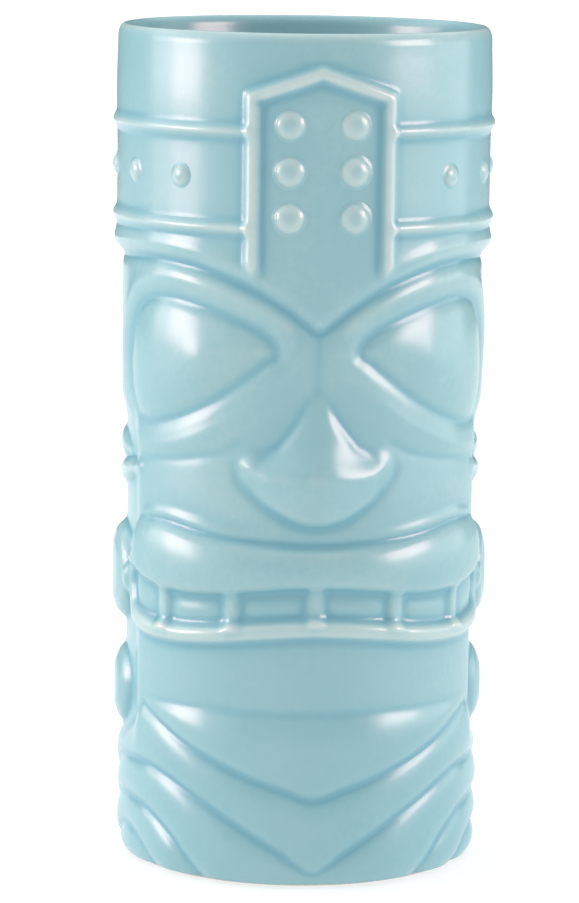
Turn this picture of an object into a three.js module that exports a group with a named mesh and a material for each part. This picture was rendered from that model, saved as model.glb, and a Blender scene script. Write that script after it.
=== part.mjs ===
// Tiki mug: a straight-sided stoneware cup whose outside is a carved face.
// Millimetres, +Z up, the foot stands on z = 0 and the face looks towards -Y.
// "Left" and "right" are the sides as seen by someone looking at the face; right is +X.
import * as THREE from "three";

// ---- driving dimensions -------------------------------------------------------------------

const MUG_HEIGHT = 160;
const BAND_WALL_RADIUS = 35.2; // plain wall behind the headband
const FACE_WALL_RADIUS = 32.6; // wall that carries the face, inset under the headband
const CUP_RADIUS = 28.8; // inside of the cup behind the face
const CUP_FLOOR = 7.6;
const FOOT_OUTER_RADIUS = 32.1;
const FOOT_INNER_RADIUS = 28.4;
const FOOT_HEIGHT = 3;
const GAP = 0.3; // joint between neighbouring pieces

const RAIL_RADIUS = 36.5;
const RAIL_HALF_WIDTH = 1.1;
const UPPER_RAIL_HEIGHT = 142;
const LOWER_RAIL_HEIGHT = 124.2;

const BAND_STUD_RADIUS = 2.7;
const BAND_STUD_HEIGHT = 133.2;
const BAND_STUD_PITCH = 22.5; // degrees
const BAND_STUD_COUNT = 13;
const BADGE_STUD_RADIUS = 2.6;
const BADGE_STUD_ANGLE = 9.7;
const BADGE_STUD_ROWS = [143.5, 135, 126.2];

const MUG_FACETS = 60;
const GLAZE_BLUE = 0x97c1cb;
const BARE_STONEWARE = 0xcfc3ab;

// ---- the cup ------------------------------------------------------------------------------

const CUP_PROFILE = [
  [0, 4.2],
  [26.5, 4],
  [27.6, FOOT_HEIGHT + GAP],
  [31, FOOT_HEIGHT + GAP],
  [32.2, 4.3],
  [FACE_WALL_RADIUS, 6],
  [FACE_WALL_RADIUS, 115.6],
  [35, 118.2],
  [BAND_WALL_RADIUS, 121],
  [BAND_WALL_RADIUS, 143],
  [35.4, 147],
  [35.4, MUG_HEIGHT - 2.7],
  [35.1, MUG_HEIGHT - 1.1],
  [34.6, MUG_HEIGHT - 0.3],
  [34.1, MUG_HEIGHT],
  [33.6, MUG_HEIGHT - 0.3],
  [33.1, MUG_HEIGHT - 1.1],
  [32.8, MUG_HEIGHT - 2.7],
  [32.2, 148],
  [31.8, 124],
  [30.2, 116],
  [29, 109],
  [CUP_RADIUS, 100],
  [CUP_RADIUS, 14],
  [28.2, 11],
  [26.3, 8.9],
  [23, CUP_FLOOR + 0.4],
  [0, CUP_FLOOR],
];

const FACE_WALL_FOOT = 5; // where the outer wall starts in the profile

const FOOT_PROFILE = [
  [FOOT_INNER_RADIUS, FOOT_HEIGHT],
  [FOOT_INNER_RADIUS, 0.5],
  [FOOT_INNER_RADIUS + 0.4, 0],
  [31.4, 0],
  [31.9, 0.7],
  [FOOT_OUTER_RADIUS, FOOT_HEIGHT],
  [FOOT_INNER_RADIUS, FOOT_HEIGHT],
];

/** Turns a [radius, height] profile about the mug's axis. */
function turned(profile) {
  const points = profile.map(([radius, height]) => new THREE.Vector2(radius, height));
  return new THREE.LatheGeometry(points, MUG_FACETS).rotateX(Math.PI / 2);
}

// ---- building relief that lies on the cup ---------------------------------------------------

/** A smooth height-over-angle line through hand-picked [x, y] points, level beyond its ends. */
function lineThrough(points) {
  const slope = (i) => {
    const before = points[Math.max(i - 1, 0)];
    const after = points[Math.min(i + 1, points.length - 1)];
    return (after[1] - before[1]) / (after[0] - before[0]);
  };
  return (x) => {
    if (x <= points[0][0]) return points[0][1];
    if (x >= points.at(-1)[0]) return points.at(-1)[1];
    const i = points.findLastIndex((point) => point[0] <= x);
    const [x0, y0] = points[i];
    const [x1, y1] = points[i + 1];
    const span = x1 - x0;
    const t = (x - x0) / span;
    const bend0 = slope(i) * span;
    const bend1 = slope(i + 1) * span;
    const lift = t * t * (3 - 2 * t);
    return y0 + (y1 - y0) * lift + bend0 * t * (1 - t) ** 2 - bend1 * t * t * (1 - t);
  };
}

/** The same line on both sides of the face. */
function mirrored(line) {
  return (angle) => line(Math.abs(angle));
}

/** The radius a piece is seated on at this height, one joint's width off the cup. */
function seat(height) {
  const above = CUP_PROFILE.findIndex(([, level], i) => i > FACE_WALL_FOOT && level >= height);
  const [radius0, height0] = CUP_PROFILE[above - 1];
  const [radius1, height1] = CUP_PROFILE[above];
  const share = Math.max((height - height0) / (height1 - height0), 0);
  return radius0 + (radius1 - radius0) * share + GAP;
}

/** The point at this angle from the middle of the face, this height and this distance from the axis. */
function onMug(angle, height, radius) {
  const turn = THREE.MathUtils.degToRad(angle);
  return new THREE.Vector3(radius * Math.sin(turn), -radius * Math.cos(turn), height);
}

/** Degrees round the mug that a length in millimetres covers. */
function degrees(length, radius = 35) {
  return THREE.MathUtils.radToDeg(length / radius);
}

/** Collects triangles, leaving out those that have closed up to a line. */
class Skin {
  constructor() {
    this.triangles = [];
  }

  triangle(a, b, c) {
    if (a !== b && b !== c && c !== a) this.triangles.push([a, b, c]);
  }

  /** Fills the strip between two rows of points, whose counts may differ. */
  strip(rowA, rowB) {
    let a = 0;
    let b = 0;
    while (a < rowA.length - 1 || b < rowB.length - 1) {
      const shareA = (a + 1) / (rowA.length - 1);
      const shareB = (b + 1) / (rowB.length - 1);
      if (shareA <= shareB) {
        this.triangle(rowA[a], rowA[a + 1], rowB[b]);
        a += 1;
      } else {
        this.triangle(rowA[a], rowB[b + 1], rowB[b]);
        b += 1;
      }
    }
  }

  /** The finished geometry, turned so that its faces look outwards. */
  geometry() {
    const volume = this.triangles.reduce((sum, [a, b, c]) => sum + a.dot(b.clone().cross(c)), 0);
    const corners = this.triangles.flatMap(([a, b, c]) => (volume < 0 ? [a, c, b] : [a, b, c]));
    const geometry = new THREE.BufferGeometry().setFromPoints(corners);
    geometry.computeVertexNormals();
    return geometry;
  }
}

/** A closed solid from stations, each with a row of outer points and a row of seat points. */
function slab(stations, isLoop) {
  const skin = new Skin();
  const last = isLoop ? stations.length : stations.length - 1;
  for (let i = 0; i < last; i += 1) {
    const here = stations[i];
    const next = stations[(i + 1) % stations.length];
    skin.strip(here.outer, next.outer);
    skin.strip(next.inner, here.inner);
    skin.strip([here.outer[0], next.outer[0]], [here.inner[0], next.inner[0]]);
    skin.strip([next.outer.at(-1), here.outer.at(-1)], [next.inner.at(-1), here.inner.at(-1)]);
  }
  if (!isLoop) {
    skin.strip(stations[0].inner, stations[0].outer);
    skin.strip(stations.at(-1).outer, stations.at(-1).inner);
  }
  return skin.geometry();
}

/** Shares from 0 to 1 that crowd towards both ends, where a rounded edge turns fastest. */
function crowded(rows) {
  return Array.from({ length: rows + 1 }, (_, k) => (1 - Math.cos((Math.PI * k) / rows)) / 2);
}

/** Height of a soft pillow across its width: 0 at both edges and 1 in the middle. */
function pillow(share, fullness = 2.5) {
  return 1 - Math.abs(2 * share - 1) ** fullness;
}

/** A patch between a bottom line and a top line; surface gives its radius. */
function panel({ from, to, steps, bottom, top, rows = 4, seatRows = 1, surface }) {
  const stations = [];
  for (let i = 0; i <= steps; i += 1) {
    const angle = from + ((to - from) * i) / steps;
    const low = bottom(angle);
    const rise = top(angle) - low;
    const outer = crowded(rows).map((share) => onMug(angle, low + rise * share, surface(share, angle)));
    const inner = [];
    for (let k = 0; k <= seatRows; k += 1) {
      const height = low + (rise * k) / seatRows;
      inner.push(onMug(angle, height, seat(height)));
    }
    stations.push({ outer, inner });
  }
  return slab(stations, false);
}

/** A raised moulding of even width along a path of [angle, height] points, mitred at its corners. */
function moulding({ path, halfWidth, edge, crest, flatness = 2 }) {
  const across = [-1, -0.5, 0.5, 1];
  const flat = path.map(([angle, height]) => new THREE.Vector2(angle / degrees(1), height));
  const stations = flat.map((point, i) => {
    const back = point.clone().sub(flat[Math.max(i - 1, 0)]).normalize();
    const ahead = flat[Math.min(i + 1, flat.length - 1)].clone().sub(point).normalize();
    const along = back.clone().add(ahead).normalize();
    const widen = 1 / Math.max(along.dot(i > 0 ? back : ahead), 0.5);
    const place = (side, radius) => {
      const angle = (point.x - along.y * side * halfWidth * widen) * degrees(1);
      const height = point.y + along.x * side * halfWidth * widen;
      return onMug(angle, height, radius(height));
    };
    const proud = (side) => edge + (crest - edge) * (1 - Math.abs(side) ** flatness);
    return {
      outer: across.map((side) => place(side, () => proud(side))),
      inner: [-1, 1].map((side) => place(side, seat)),
    };
  });
  return slab(stations, false);
}

/** Points of a closed smooth outline through hand-picked [angle, height] points. */
function outlineThrough(points, count) {
  const corners = points.map(([angle, height]) => new THREE.Vector3(angle, height, 0));
  const curve = new THREE.CatmullRomCurve3(corners, true, "centripetal");
  return Array.from({ length: count }, (_, i) => {
    const point = curve.getPoint(i / count);
    return [point.x, point.y];
  });
}

/** An oval outline with these half-sizes in millimetres; squareness above 2 gives it square shoulders. */
function roundOutline([angle, height], wide, tall, count, squareness = 2) {
  const swell = (value) => Math.sign(value) * Math.abs(value) ** (2 / squareness);
  return Array.from({ length: count }, (_, i) => {
    const turn = (2 * Math.PI * i) / count;
    return [angle + degrees(wide) * swell(Math.cos(turn)), height + tall * swell(Math.sin(turn))];
  });
}

/** A raised boss about a centre; profile lists [share of the way out, radius], centre first. */
function boss({ centre, outline, profile, seatShares = [0, 1], seatAt = seat }) {
  const point = (share, rim, radius) => {
    const angle = centre[0] + (rim[0] - centre[0]) * share;
    const height = centre[1] + (rim[1] - centre[1]) * share;
    return onMug(angle, height, radius ?? seatAt(height));
  };
  const top = point(0, centre, profile[0][1]);
  const root = point(0, centre);
  const stations = outline.map((rim) => ({
    outer: [top, ...profile.slice(1).map(([share, radius]) => point(share, rim, radius))],
    inner: [root, ...seatShares.slice(1).map((share) => point(share, rim))],
  }));
  return slab(stations, true);
}

/** A raised ring between two outlines that hold the same number of points. */
function ringPiece({ inside, outside, edge, crest }) {
  const stations = inside.map((near, i) => {
    const far = outside[i];
    const place = (share, radius) =>
      onMug(near[0] + (far[0] - near[0]) * share, near[1] + (far[1] - near[1]) * share, radius);
    const seated = FACE_WALL_RADIUS + GAP;
    return {
      outer: crowded(3).map((share) => place(share, edge + (crest - edge) * pillow(share, 2))),
      inner: [0, 0.5, 1].map((share) => place(share, seated)),
    };
  });
  return slab(stations, true);
}

/** The same points on the other side of the face when side is -1. */
function sided(points, side) {
  return points.map(([angle, height]) => [angle * side, height]);
}

// ---- the object -----------------------------------------------------------------------------

const mug = new THREE.Group();
mug.name = "tiki_mug";
const SIDES = { left: -1, right: 1 };

function add(name, geometry, color = GLAZE_BLUE, roughness = 0.18) {
  const material = new THREE.MeshStandardMaterial({ color, roughness, metalness: 0 });
  const mesh = new THREE.Mesh(geometry, material);
  mesh.name = name;
  mug.add(mesh);
}

add("vessel", turned(CUP_PROFILE));
add("foot_ring", turned(FOOT_PROFILE), BARE_STONEWARE, 0.8);

// ---- headband: two rails, a six-sided badge and round studs -----------------------------------

const BADGE_SHOULDER = [21.3, 149];
const BADGE_APEX = 153.2;
const BADGE_HALF_WIDTH = 1.5;
const FOREHEAD_TOP = 117.6;

/** The badge's border: up one leg, over the gabled top and down the other leg. */
function badgeBorder() {
  const [shoulderAngle, shoulderHeight] = BADGE_SHOULDER;
  const gable = [-1, -0.66, -0.33, 0, 0.33, 0.66, 1].map((share) => [
    shoulderAngle * share,
    BADGE_APEX + (shoulderHeight - BADGE_APEX) * Math.abs(share),
  ]);
  const footHeight = FOREHEAD_TOP + 1.6;
  return [[-21, footHeight], ...gable, [21, footHeight]];
}

/** A rail that leaves the badge on one side and meets it again on the other. */
function railPath(height) {
  const start = BADGE_SHOULDER[0] + degrees(BADGE_HALF_WIDTH + 2 * GAP);
  const steps = 48;
  return Array.from({ length: steps + 1 }, (_, i) => [start + ((360 - 2 * start) * i) / steps, height]);
}

for (const [name, height] of [
  ["headband_upper_rail", UPPER_RAIL_HEIGHT],
  ["headband_lower_rail", LOWER_RAIL_HEIGHT],
]) {
  const path = railPath(height);
  add(name, moulding({ path, halfWidth: RAIL_HALF_WIDTH, edge: 35.9, crest: RAIL_RADIUS }));
}

add(
  "badge_frame",
  moulding({
    path: badgeBorder(),
    halfWidth: BADGE_HALF_WIDTH,
    edge: 36.1,
    crest: 36.9,
    flatness: 4,
  }),
);

/** A round stud with a soft crown. */
function stud(angle, height, radius, crown) {
  const rim = seat(height) + 0.4;
  return boss({
    centre: [angle, height],
    outline: roundOutline([angle, height], radius, radius, 14),
    profile: [
      [0, rim + crown],
      [0.55, rim + crown * 0.86],
      [0.86, rim + crown * 0.5],
      [1, rim],
    ],
  });
}

BADGE_STUD_ROWS.forEach((height, row) => {
  for (const [word, side] of Object.entries(SIDES)) {
    add(`badge_stud_${word}_${row + 1}`, stud(BADGE_STUD_ANGLE * side, height, BADGE_STUD_RADIUS, 1.2));
  }
});

for (let i = 0; i < BAND_STUD_COUNT; i += 1) {
  const angle = (i + 2) * BAND_STUD_PITCH;
  add(`band_stud_${i + 1}`, stud(angle, BAND_STUD_HEIGHT, BAND_STUD_RADIUS, 0.9));
}

// ---- brow, eyes and nose ------------------------------------------------------------------------

// The forehead hangs over the face in a shallow V.
const foreheadEdge = mirrored(
  lineThrough([
    [0, 106.2],
    [10, 110],
    [20, 113.2],
    [30, 115.2],
    [40, 116.2],
  ]),
);

add(
  "forehead",
  panel({
    from: -39,
    to: 39,
    steps: 14,
    bottom: foreheadEdge,
    top: () => FOREHEAD_TOP,
    rows: 3,
    seatRows: 3,
    surface: (share) => 35.4 + 0.5 * pillow(share, 2),
  }),
);

const EYE_RIM = [
  [14.5, 102],
  [22, 105.9],
  [31, 108],
  [40, 109.2],
  [50, 109.9],
  [60, 109.7],
  [67, 108],
  [72, 103.5],
  [72.6, 96],
  [69, 90.2],
  [60, 87.2],
  [50, 88.2],
  [40, 90.6],
  [30, 94],
  [20, 98.5],
];

const RING_INSIDE = [
  [11, 102],
  [20, 107],
  [30, 109.5],
  [40, 110.8],
  [50, 111.5],
  [61, 111.3],
  [70, 109.3],
  [75.5, 104],
  [76, 95],
  [71.5, 88],
  [61, 85.2],
  [50, 86.2],
  [40, 88.6],
  [29, 92],
  [18, 97],
];

const RING_OUTSIDE = [
  [1.3, 101.8],
  [12, 108.3],
  [26, 112.8],
  [38, 114.2],
  [50, 114.8],
  [63, 114.8],
  [75, 113.3],
  [82, 106],
  [82, 94],
  [76, 86.8],
  [61, 80.2],
  [48, 80.8],
  [36, 82],
  [20, 83.7],
  [6, 92.5],
];

const NOSE_HALF = [
  [3.4, 91],
  [6.4, 88],
  [9.5, 85],
  [14, 82.2],
  [20, 82.2],
  [24.5, 81.4],
  [25.8, 79.6],
  [20, 74.8],
  [10, 70.5],
];

for (const [word, side] of Object.entries(SIDES)) {
  add(
    `brow_ring_${word}`,
    ringPiece({
      inside: outlineThrough(sided(RING_INSIDE, side), 30),
      outside: outlineThrough(sided(RING_OUTSIDE, side), 30),
      edge: 33.7,
      crest: 35.4,
    }),
  );
  add(
    `eye_${word}`,
    boss({
      centre: [43 * side, 98.8],
      outline: outlineThrough(sided(EYE_RIM, side), 26),
      profile: [
        [0, 35.6],
        [0.35, 35.3],
        [0.7, 34.8],
        [1, 33.7],
      ],
      seatShares: [0, 0.35, 0.7, 1],
    }),
  );
}

add(
  "nose",
  boss({
    centre: [0, 78],
    outline: outlineThrough(
      [[0, 93.4], ...NOSE_HALF, [0, 69.2], ...sided(NOSE_HALF, -1).reverse()],
      28,
    ),
    profile: [
      [0, 36.9],
      [0.35, 36.7],
      [0.65, 36.1],
      [0.88, 35.1],
      [1, 34.1],
    ],
    seatShares: [0, 0.5, 1],
  }),
);

// ---- cheeks and mouth -----------------------------------------------------------------------------

const CHEEK_START = 7;
const CHEEK_END = 72;
const cheekBottom = lineThrough([
  [CHEEK_START, 66.2],
  [30, 68],
  [50, 69.3],
  [64, 68.4],
  [CHEEK_END, 66.3],
]);
const cheekTop = lineThrough([
  [CHEEK_START, 68.6],
  [15, 71.5],
  [22, 75],
  [27, 78],
  [31, 81],
  [45, 80],
  [58, 79],
  [66, 78.8],
  [CHEEK_END, 77.5],
]);
const lipTop = mirrored(
  lineThrough([
    [0, 64.4],
    [20, 65.4],
    [40, 66.9],
    [52, 67.6],
    [64, 66.5],
    [72, 63],
  ]),
);
const mouthTop = mirrored(
  lineThrough([
    [0, 57],
    [20, 56.1],
    [40, 54.9],
    [55, 55.2],
    [72, 58.2],
  ]),
);
const lowerLipLine = mirrored(
  lineThrough([
    [0, 49.9],
    [20, 48.9],
    [45, 47.3],
    [60, 47.6],
    [71, 49.2],
  ]),
);
const MOUTH_END = 71;
const LOWER_LIP_HALF_WIDTH = 1.3;
const TOOTH_BAR_ANGLES = [-52, -26, 0, 26, 52];
const TOOTH_BAR_HALF_WIDTH = 1.6;
const TEETH_RADIUS = 34;

for (const [word, side] of Object.entries(SIDES)) {
  add(
    `cheek_${word}`,
    panel({
      from: CHEEK_START * side,
      to: CHEEK_END * side,
      steps: 12,
      bottom: mirrored(cheekBottom),
      top: mirrored(cheekTop),
      rows: 3,
      surface: (share) => 33.8 + pillow(share),
    }),
  );
}

add(
  "upper_lip",
  panel({
    from: -MOUTH_END,
    to: MOUTH_END,
    steps: 22,
    bottom: mouthTop,
    top: lipTop,
    surface: (share) => 34.1 + 2 * pillow(share, 2),
  }),
);

add(
  "lower_lip",
  moulding({
    path: Array.from({ length: 23 }, (_, i) => {
      const angle = MOUTH_END * ((2 * i) / 22 - 1);
      return [angle, lowerLipLine(angle)];
    }),
    halfWidth: LOWER_LIP_HALF_WIDTH,
    edge: 34.4,
    crest: 35.9,
  }),
);

add(
  "teeth",
  panel({
    from: 1 - MOUTH_END,
    to: MOUTH_END - 1,
    steps: 20,
    bottom: (angle) => lowerLipLine(angle) + LOWER_LIP_HALF_WIDTH + GAP,
    top: (angle) => mouthTop(angle) - GAP,
    rows: 1,
    surface: () => TEETH_RADIUS,
  }),
);

TOOTH_BAR_ANGLES.forEach((angle, i) => {
  const low = lowerLipLine(angle) + LOWER_LIP_HALF_WIDTH + 2 * GAP;
  const high = mouthTop(angle) - 2 * GAP;
  const centre = [angle, (low + high) / 2];
  add(
    `tooth_bar_${i + 1}`,
    boss({
      centre,
      outline: roundOutline(centre, TOOTH_BAR_HALF_WIDTH, (high - low) / 2, 16, 4),
      profile: [
        [0, 35.7],
        [0.7, 35.6],
        [1, 34.8],
      ],
      seatAt: () => TEETH_RADIUS + GAP,
    }),
  );
});

// ---- chin and beard ---------------------------------------------------------------------------------

const CHIN_PLATE_TOP = 33.9;
const BEARD_FOOT = 1.6;

// Three carved lines part the beard; each falls from the ears to the middle of the face.
const chinLine = mirrored(
  lineThrough([
    [0, 17.2],
    [20, 20.7],
    [40, 25.4],
    [60, 31],
  ]),
);
const upperBeardLine = mirrored(
  lineThrough([
    [0, 3],
    [20, 10.1],
    [40, 16.5],
    [55, 20],
    [70, 20.8],
    [80, 20.3],
    [90, 18],
    [100, 13.5],
    [110, 7],
    [118, 0.7],
  ]),
);
const middleBeardLine = mirrored(
  lineThrough([
    [38, 0.7],
    [50, 8.3],
    [60, 11.4],
    [72, 13.1],
    [80, 12.8],
    [90, 11.5],
    [100, 7.5],
    [108, 2.2],
  ]),
);
const lowerBeardLine = mirrored(
  lineThrough([
    [60, 0.7],
    [65, 4.5],
    [74, 7],
    [85, 5.5],
    [97, 1],
  ]),
);
const beardShoulder = mirrored(
  lineThrough([
    [58, 29.5],
    [65, 27.6],
    [74, 24.8],
    [84, 23.8],
    [98, 23.4],
    [108, 20],
    [114, 13.5],
    [118, 6],
  ]),
);
const CARVED_HALF_WIDTH = 0.9;
const beardSurface = (share) => 34 + 1.3 * pillow(share, 2);

add(
  "chin",
  panel({
    from: -68,
    to: 68,
    steps: 20,
    bottom: () => CHIN_PLATE_TOP + 2 * GAP,
    top: (angle) => lowerLipLine(angle) - LOWER_LIP_HALF_WIDTH - GAP,
    rows: 3,
    surface: (share) => 33.7 + 0.8 * pillow(share),
  }),
);

add(
  "chin_plate",
  panel({
    from: -57,
    to: 57,
    steps: 18,
    bottom: (angle) => chinLine(angle) + CARVED_HALF_WIDTH,
    top: () => CHIN_PLATE_TOP,
    rows: 3,
    surface: beardSurface,
  }),
);

add(
  "beard_band",
  panel({
    from: -117,
    to: 117,
    steps: 40,
    bottom: (angle) => upperBeardLine(angle) + CARVED_HALF_WIDTH,
    top: (angle) =>
      Math.abs(angle) < 58 ? chinLine(angle) - CARVED_HALF_WIDTH : beardShoulder(angle),
    rows: 3,
    surface: beardSurface,
  }),
);

/** One of the short bands that run out at the foot. */
function beardLock({ from, to, steps, above, below }) {
  return panel({
    from,
    to,
    steps,
    bottom: (angle) => Math.max(below(angle) + CARVED_HALF_WIDTH, BEARD_FOOT),
    top: (angle) => above(angle) - CARVED_HALF_WIDTH,
    rows: 3,
    surface: beardSurface,
  });
}

for (const [word, side] of Object.entries(SIDES)) {
  const locks = [
    { from: 7, to: 111, steps: 18, above: upperBeardLine, below: middleBeardLine },
    { from: 45, to: 104, steps: 11, above: middleBeardLine, below: lowerBeardLine },
    { from: 65, to: 90, steps: 5, above: lowerBeardLine, below: () => 0 },
  ];
  locks.forEach((lock, i) => {
    const range = { from: lock.from * side, to: lock.to * side };
    add(`beard_lock_${word}_${i + 1}`, beardLock({ ...lock, ...range }));
  });
}

// ---- ears, ear plugs and hair -----------------------------------------------------------------------

const EAR_ANGLE = 90;

for (const [word, side] of Object.entries(SIDES)) {
  const placed = (angle, height) => [angle * side, height];
  const rounded = (edge, crest) => [
    [0, crest],
    [0.5, crest - 0.25 * (crest - edge)],
    [0.82, crest - 0.6 * (crest - edge)],
    [1, edge],
  ];
  add(
    `ear_upper_${word}`,
    boss({
      centre: placed(89, 80.6),
      outline: roundOutline(placed(89, 80.6), 7.4, 3.5, 16),
      profile: rounded(33.9, 35.2),
      seatShares: [0, 0.5, 1],
    }),
  );
  add(
    `ear_lower_${word}`,
    boss({
      centre: placed(89, 73.2),
      outline: roundOutline(placed(89, 73.2), 9.3, 3, 16),
      profile: rounded(33.9, 35),
      seatShares: [0, 0.5, 1],
    }),
  );
  add(
    `ear_plug_${word}`,
    boss({
      centre: placed(EAR_ANGLE, 56.6),
      outline: roundOutline(placed(EAR_ANGLE, 56.6), 9.8, 9.4, 24),
      profile: rounded(34.3, 36.4),
      seatShares: [0, 0.5, 1],
    }),
  );
  add(
    `ear_drop_${word}`,
    boss({
      centre: placed(EAR_ANGLE, 33.2),
      outline: roundOutline(placed(EAR_ANGLE, 33.2), 8, 8, 20),
      profile: rounded(34.1, 36),
      seatShares: [0, 0.5, 1],
    }),
  );
}

for (const [word, side] of Object.entries(SIDES)) {
  add(
    `temple_${word}`,
    panel({
      from: 84 * side,
      to: 106 * side,
      steps: 3,
      bottom: () => 86.5,
      top: () => 115,
      rows: 3,
      surface: (share) => 33.8 + 0.5 * pillow(share, 6),
    }),
  );
}

// The hair hangs down the back in upright flutes and tucks in behind the beard.
const HAIR_START = 107.5;
const HAIR_FLUTES = 6;
const HAIR_SPAN = 360 - 2 * HAIR_START;
const hairBottom = lineThrough([
  [HAIR_START, 24.5],
  [114, 19.5],
  [119, 10.5],
  [123, BEARD_FOOT],
]);

add(
  "hair",
  panel({
    from: HAIR_START,
    to: HAIR_START + HAIR_SPAN,
    steps: HAIR_FLUTES * 6,
    bottom: (angle) => hairBottom(180 - Math.abs(angle - 180)),
    top: () => 115,
    rows: 3,
    surface: (share, angle) => {
      const flute = ((angle - HAIR_START) / HAIR_SPAN) * HAIR_FLUTES;
      return 33.6 + 0.9 * pillow(flute % 1, 2) * pillow(share, 6);
    },
  }),
);

export default mug;
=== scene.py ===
"""Tiki mug: a slip-cast stoneware cup with a mask carved round it, under a pale blue gloss glaze.

The glazed cup is one skin, as the real casting is: a height field of the distance from the mug's axis,
built up form by form (headband, badge, brow, eyes, nose, mouth, beard, ears and hair) and then wrapped round
the cup. The studs are set out by Geometry Nodes, and the unglazed foot is a turned ring. Angles are in
degrees from the middle of the face, positive towards +X, and sizes are in millimetres until a mesh is made.
"""

import logging
import math
from collections.abc import Callable, Sequence
from dataclasses import dataclass, field
from enum import Enum

import bpy
import numpy as np
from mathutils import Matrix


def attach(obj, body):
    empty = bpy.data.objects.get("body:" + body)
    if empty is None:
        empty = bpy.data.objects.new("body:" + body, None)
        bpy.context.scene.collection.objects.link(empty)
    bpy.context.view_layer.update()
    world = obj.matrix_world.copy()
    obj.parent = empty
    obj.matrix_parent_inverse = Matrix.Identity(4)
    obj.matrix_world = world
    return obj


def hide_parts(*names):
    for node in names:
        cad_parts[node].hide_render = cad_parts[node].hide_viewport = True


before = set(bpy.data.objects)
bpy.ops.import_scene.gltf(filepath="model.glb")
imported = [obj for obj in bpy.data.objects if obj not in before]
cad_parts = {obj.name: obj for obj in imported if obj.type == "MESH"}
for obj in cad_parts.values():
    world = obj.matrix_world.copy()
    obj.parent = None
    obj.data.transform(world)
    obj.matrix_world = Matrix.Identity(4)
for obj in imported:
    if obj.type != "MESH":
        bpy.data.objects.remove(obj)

LOG = logging.getLogger("tiki_mug")
Point = tuple[float, float]
Line = Callable[[np.ndarray], np.ndarray]

MM = 0.001
ARC_RADIUS = 35.0  # radius at which degrees are turned to millimetres of arc
BUILD_AND_SHADE = "glaze_build"  # vertex attribute: -1 where the glaze ran thin, +1 where it pooled; it also carries painted shade inside the cup and low on the wall


# ---- small tools ---------------------------------------------------------------------------------


def linear(code: str) -> tuple[float, float, float, float]:
    """Turns an sRGB hex colour into the linear colour that Blender's sockets hold.

    Args:
        code: six hex digits, such as "97C1CB".

    Returns:
        Linear red, green, blue and an alpha of 1.
    """
    shares = [int(code[i : i + 2], 16) / 255 for i in (0, 2, 4)]
    red, green, blue = [s / 12.92 if s <= 0.04045 else ((s + 0.055) / 1.055) ** 2.4 for s in shares]
    return red, green, blue, 1.0


def smooth_step(value: np.ndarray, low: float, high: float) -> np.ndarray:
    """Rises smoothly from 0 at low to 1 at high."""
    share = np.clip((value - low) / (high - low), 0, 1)
    return share * share * (3 - 2 * share)


def hump(distance: np.ndarray, width: float) -> np.ndarray:
    """A soft bell, 1 at distance 0 and fading over width."""
    return np.exp(-((distance / width) ** 2))


def ridge(distance: np.ndarray, half_width: float, softness: float) -> np.ndarray:
    """A flat-topped ridge about distance 0, with soft shoulders."""
    return 1 - smooth_step(np.abs(distance), half_width - softness, half_width + softness)


def shoulder(depth: np.ndarray, reach: float) -> np.ndarray:
    """Rises from 0 at an edge to nearly 1 within about twice the reach, like a rounded shoulder."""
    return 1 - np.exp(-((np.maximum(depth, 0) / reach) ** 1.5))


def line_through(points: Sequence[Point]) -> Line:
    """A smooth line through given points, level beyond its ends.

    Args:
        points: (x, y) pairs with x rising.

    Returns:
        A function from an array of x to an array of y.
    """
    xs, ys = (np.array(column, float) for column in zip(*points, strict=True))
    slopes = np.empty_like(ys)
    slopes[1:-1] = (ys[2:] - ys[:-2]) / (xs[2:] - xs[:-2])
    slopes[0], slopes[-1] = (ys[1] - ys[0]) / (xs[1] - xs[0]), (ys[-1] - ys[-2]) / (xs[-1] - xs[-2])

    def line(x: np.ndarray) -> np.ndarray:
        """Reads the line.

        Args:
            x: where it is read.

        Returns:
            The line's height there.
        """
        held = np.clip(x, xs[0], xs[-1])
        i = np.clip(np.searchsorted(xs, held, side="right") - 1, 0, len(xs) - 2)
        span = xs[i + 1] - xs[i]
        t = (held - xs[i]) / span
        lift = t * t * (3 - 2 * t)
        bend = slopes[i] * t * (1 - t) ** 2 - slopes[i + 1] * t * t * (1 - t)
        return ys[i] + (ys[i + 1] - ys[i]) * lift + bend * span

    return line


def arc(angle: float | np.ndarray) -> float | np.ndarray:
    """Millimetres round the mug that an angle in degrees covers."""
    return np.radians(angle) * ARC_RADIUS


def add_node(
    tree: bpy.types.NodeTree,
    kind: str,
    settings: dict[str, object] | None = None,
    inputs: dict[str | int, object] | None = None,
) -> bpy.types.Node:
    """Adds a node, sets its properties, and sets or links its inputs.

    Args:
        tree: the node tree that gets the node.
        kind: the node's type, such as "ShaderNodeBsdfPrincipled".
        settings: property name to value.
        inputs: socket name or number to a value, or to the output socket that feeds it.

    Returns:
        The new node.
    """
    node = tree.nodes.new(kind)
    for name, value in (settings or {}).items():
        setattr(node, name, value)
    for name, value in (inputs or {}).items():
        if isinstance(value, bpy.types.NodeSocket):
            tree.links.new(value, node.inputs[name])
        else:
            node.inputs[name].default_value = value
    return node


# ---- the grid that the relief is worked out on ---------------------------------------------------


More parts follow.
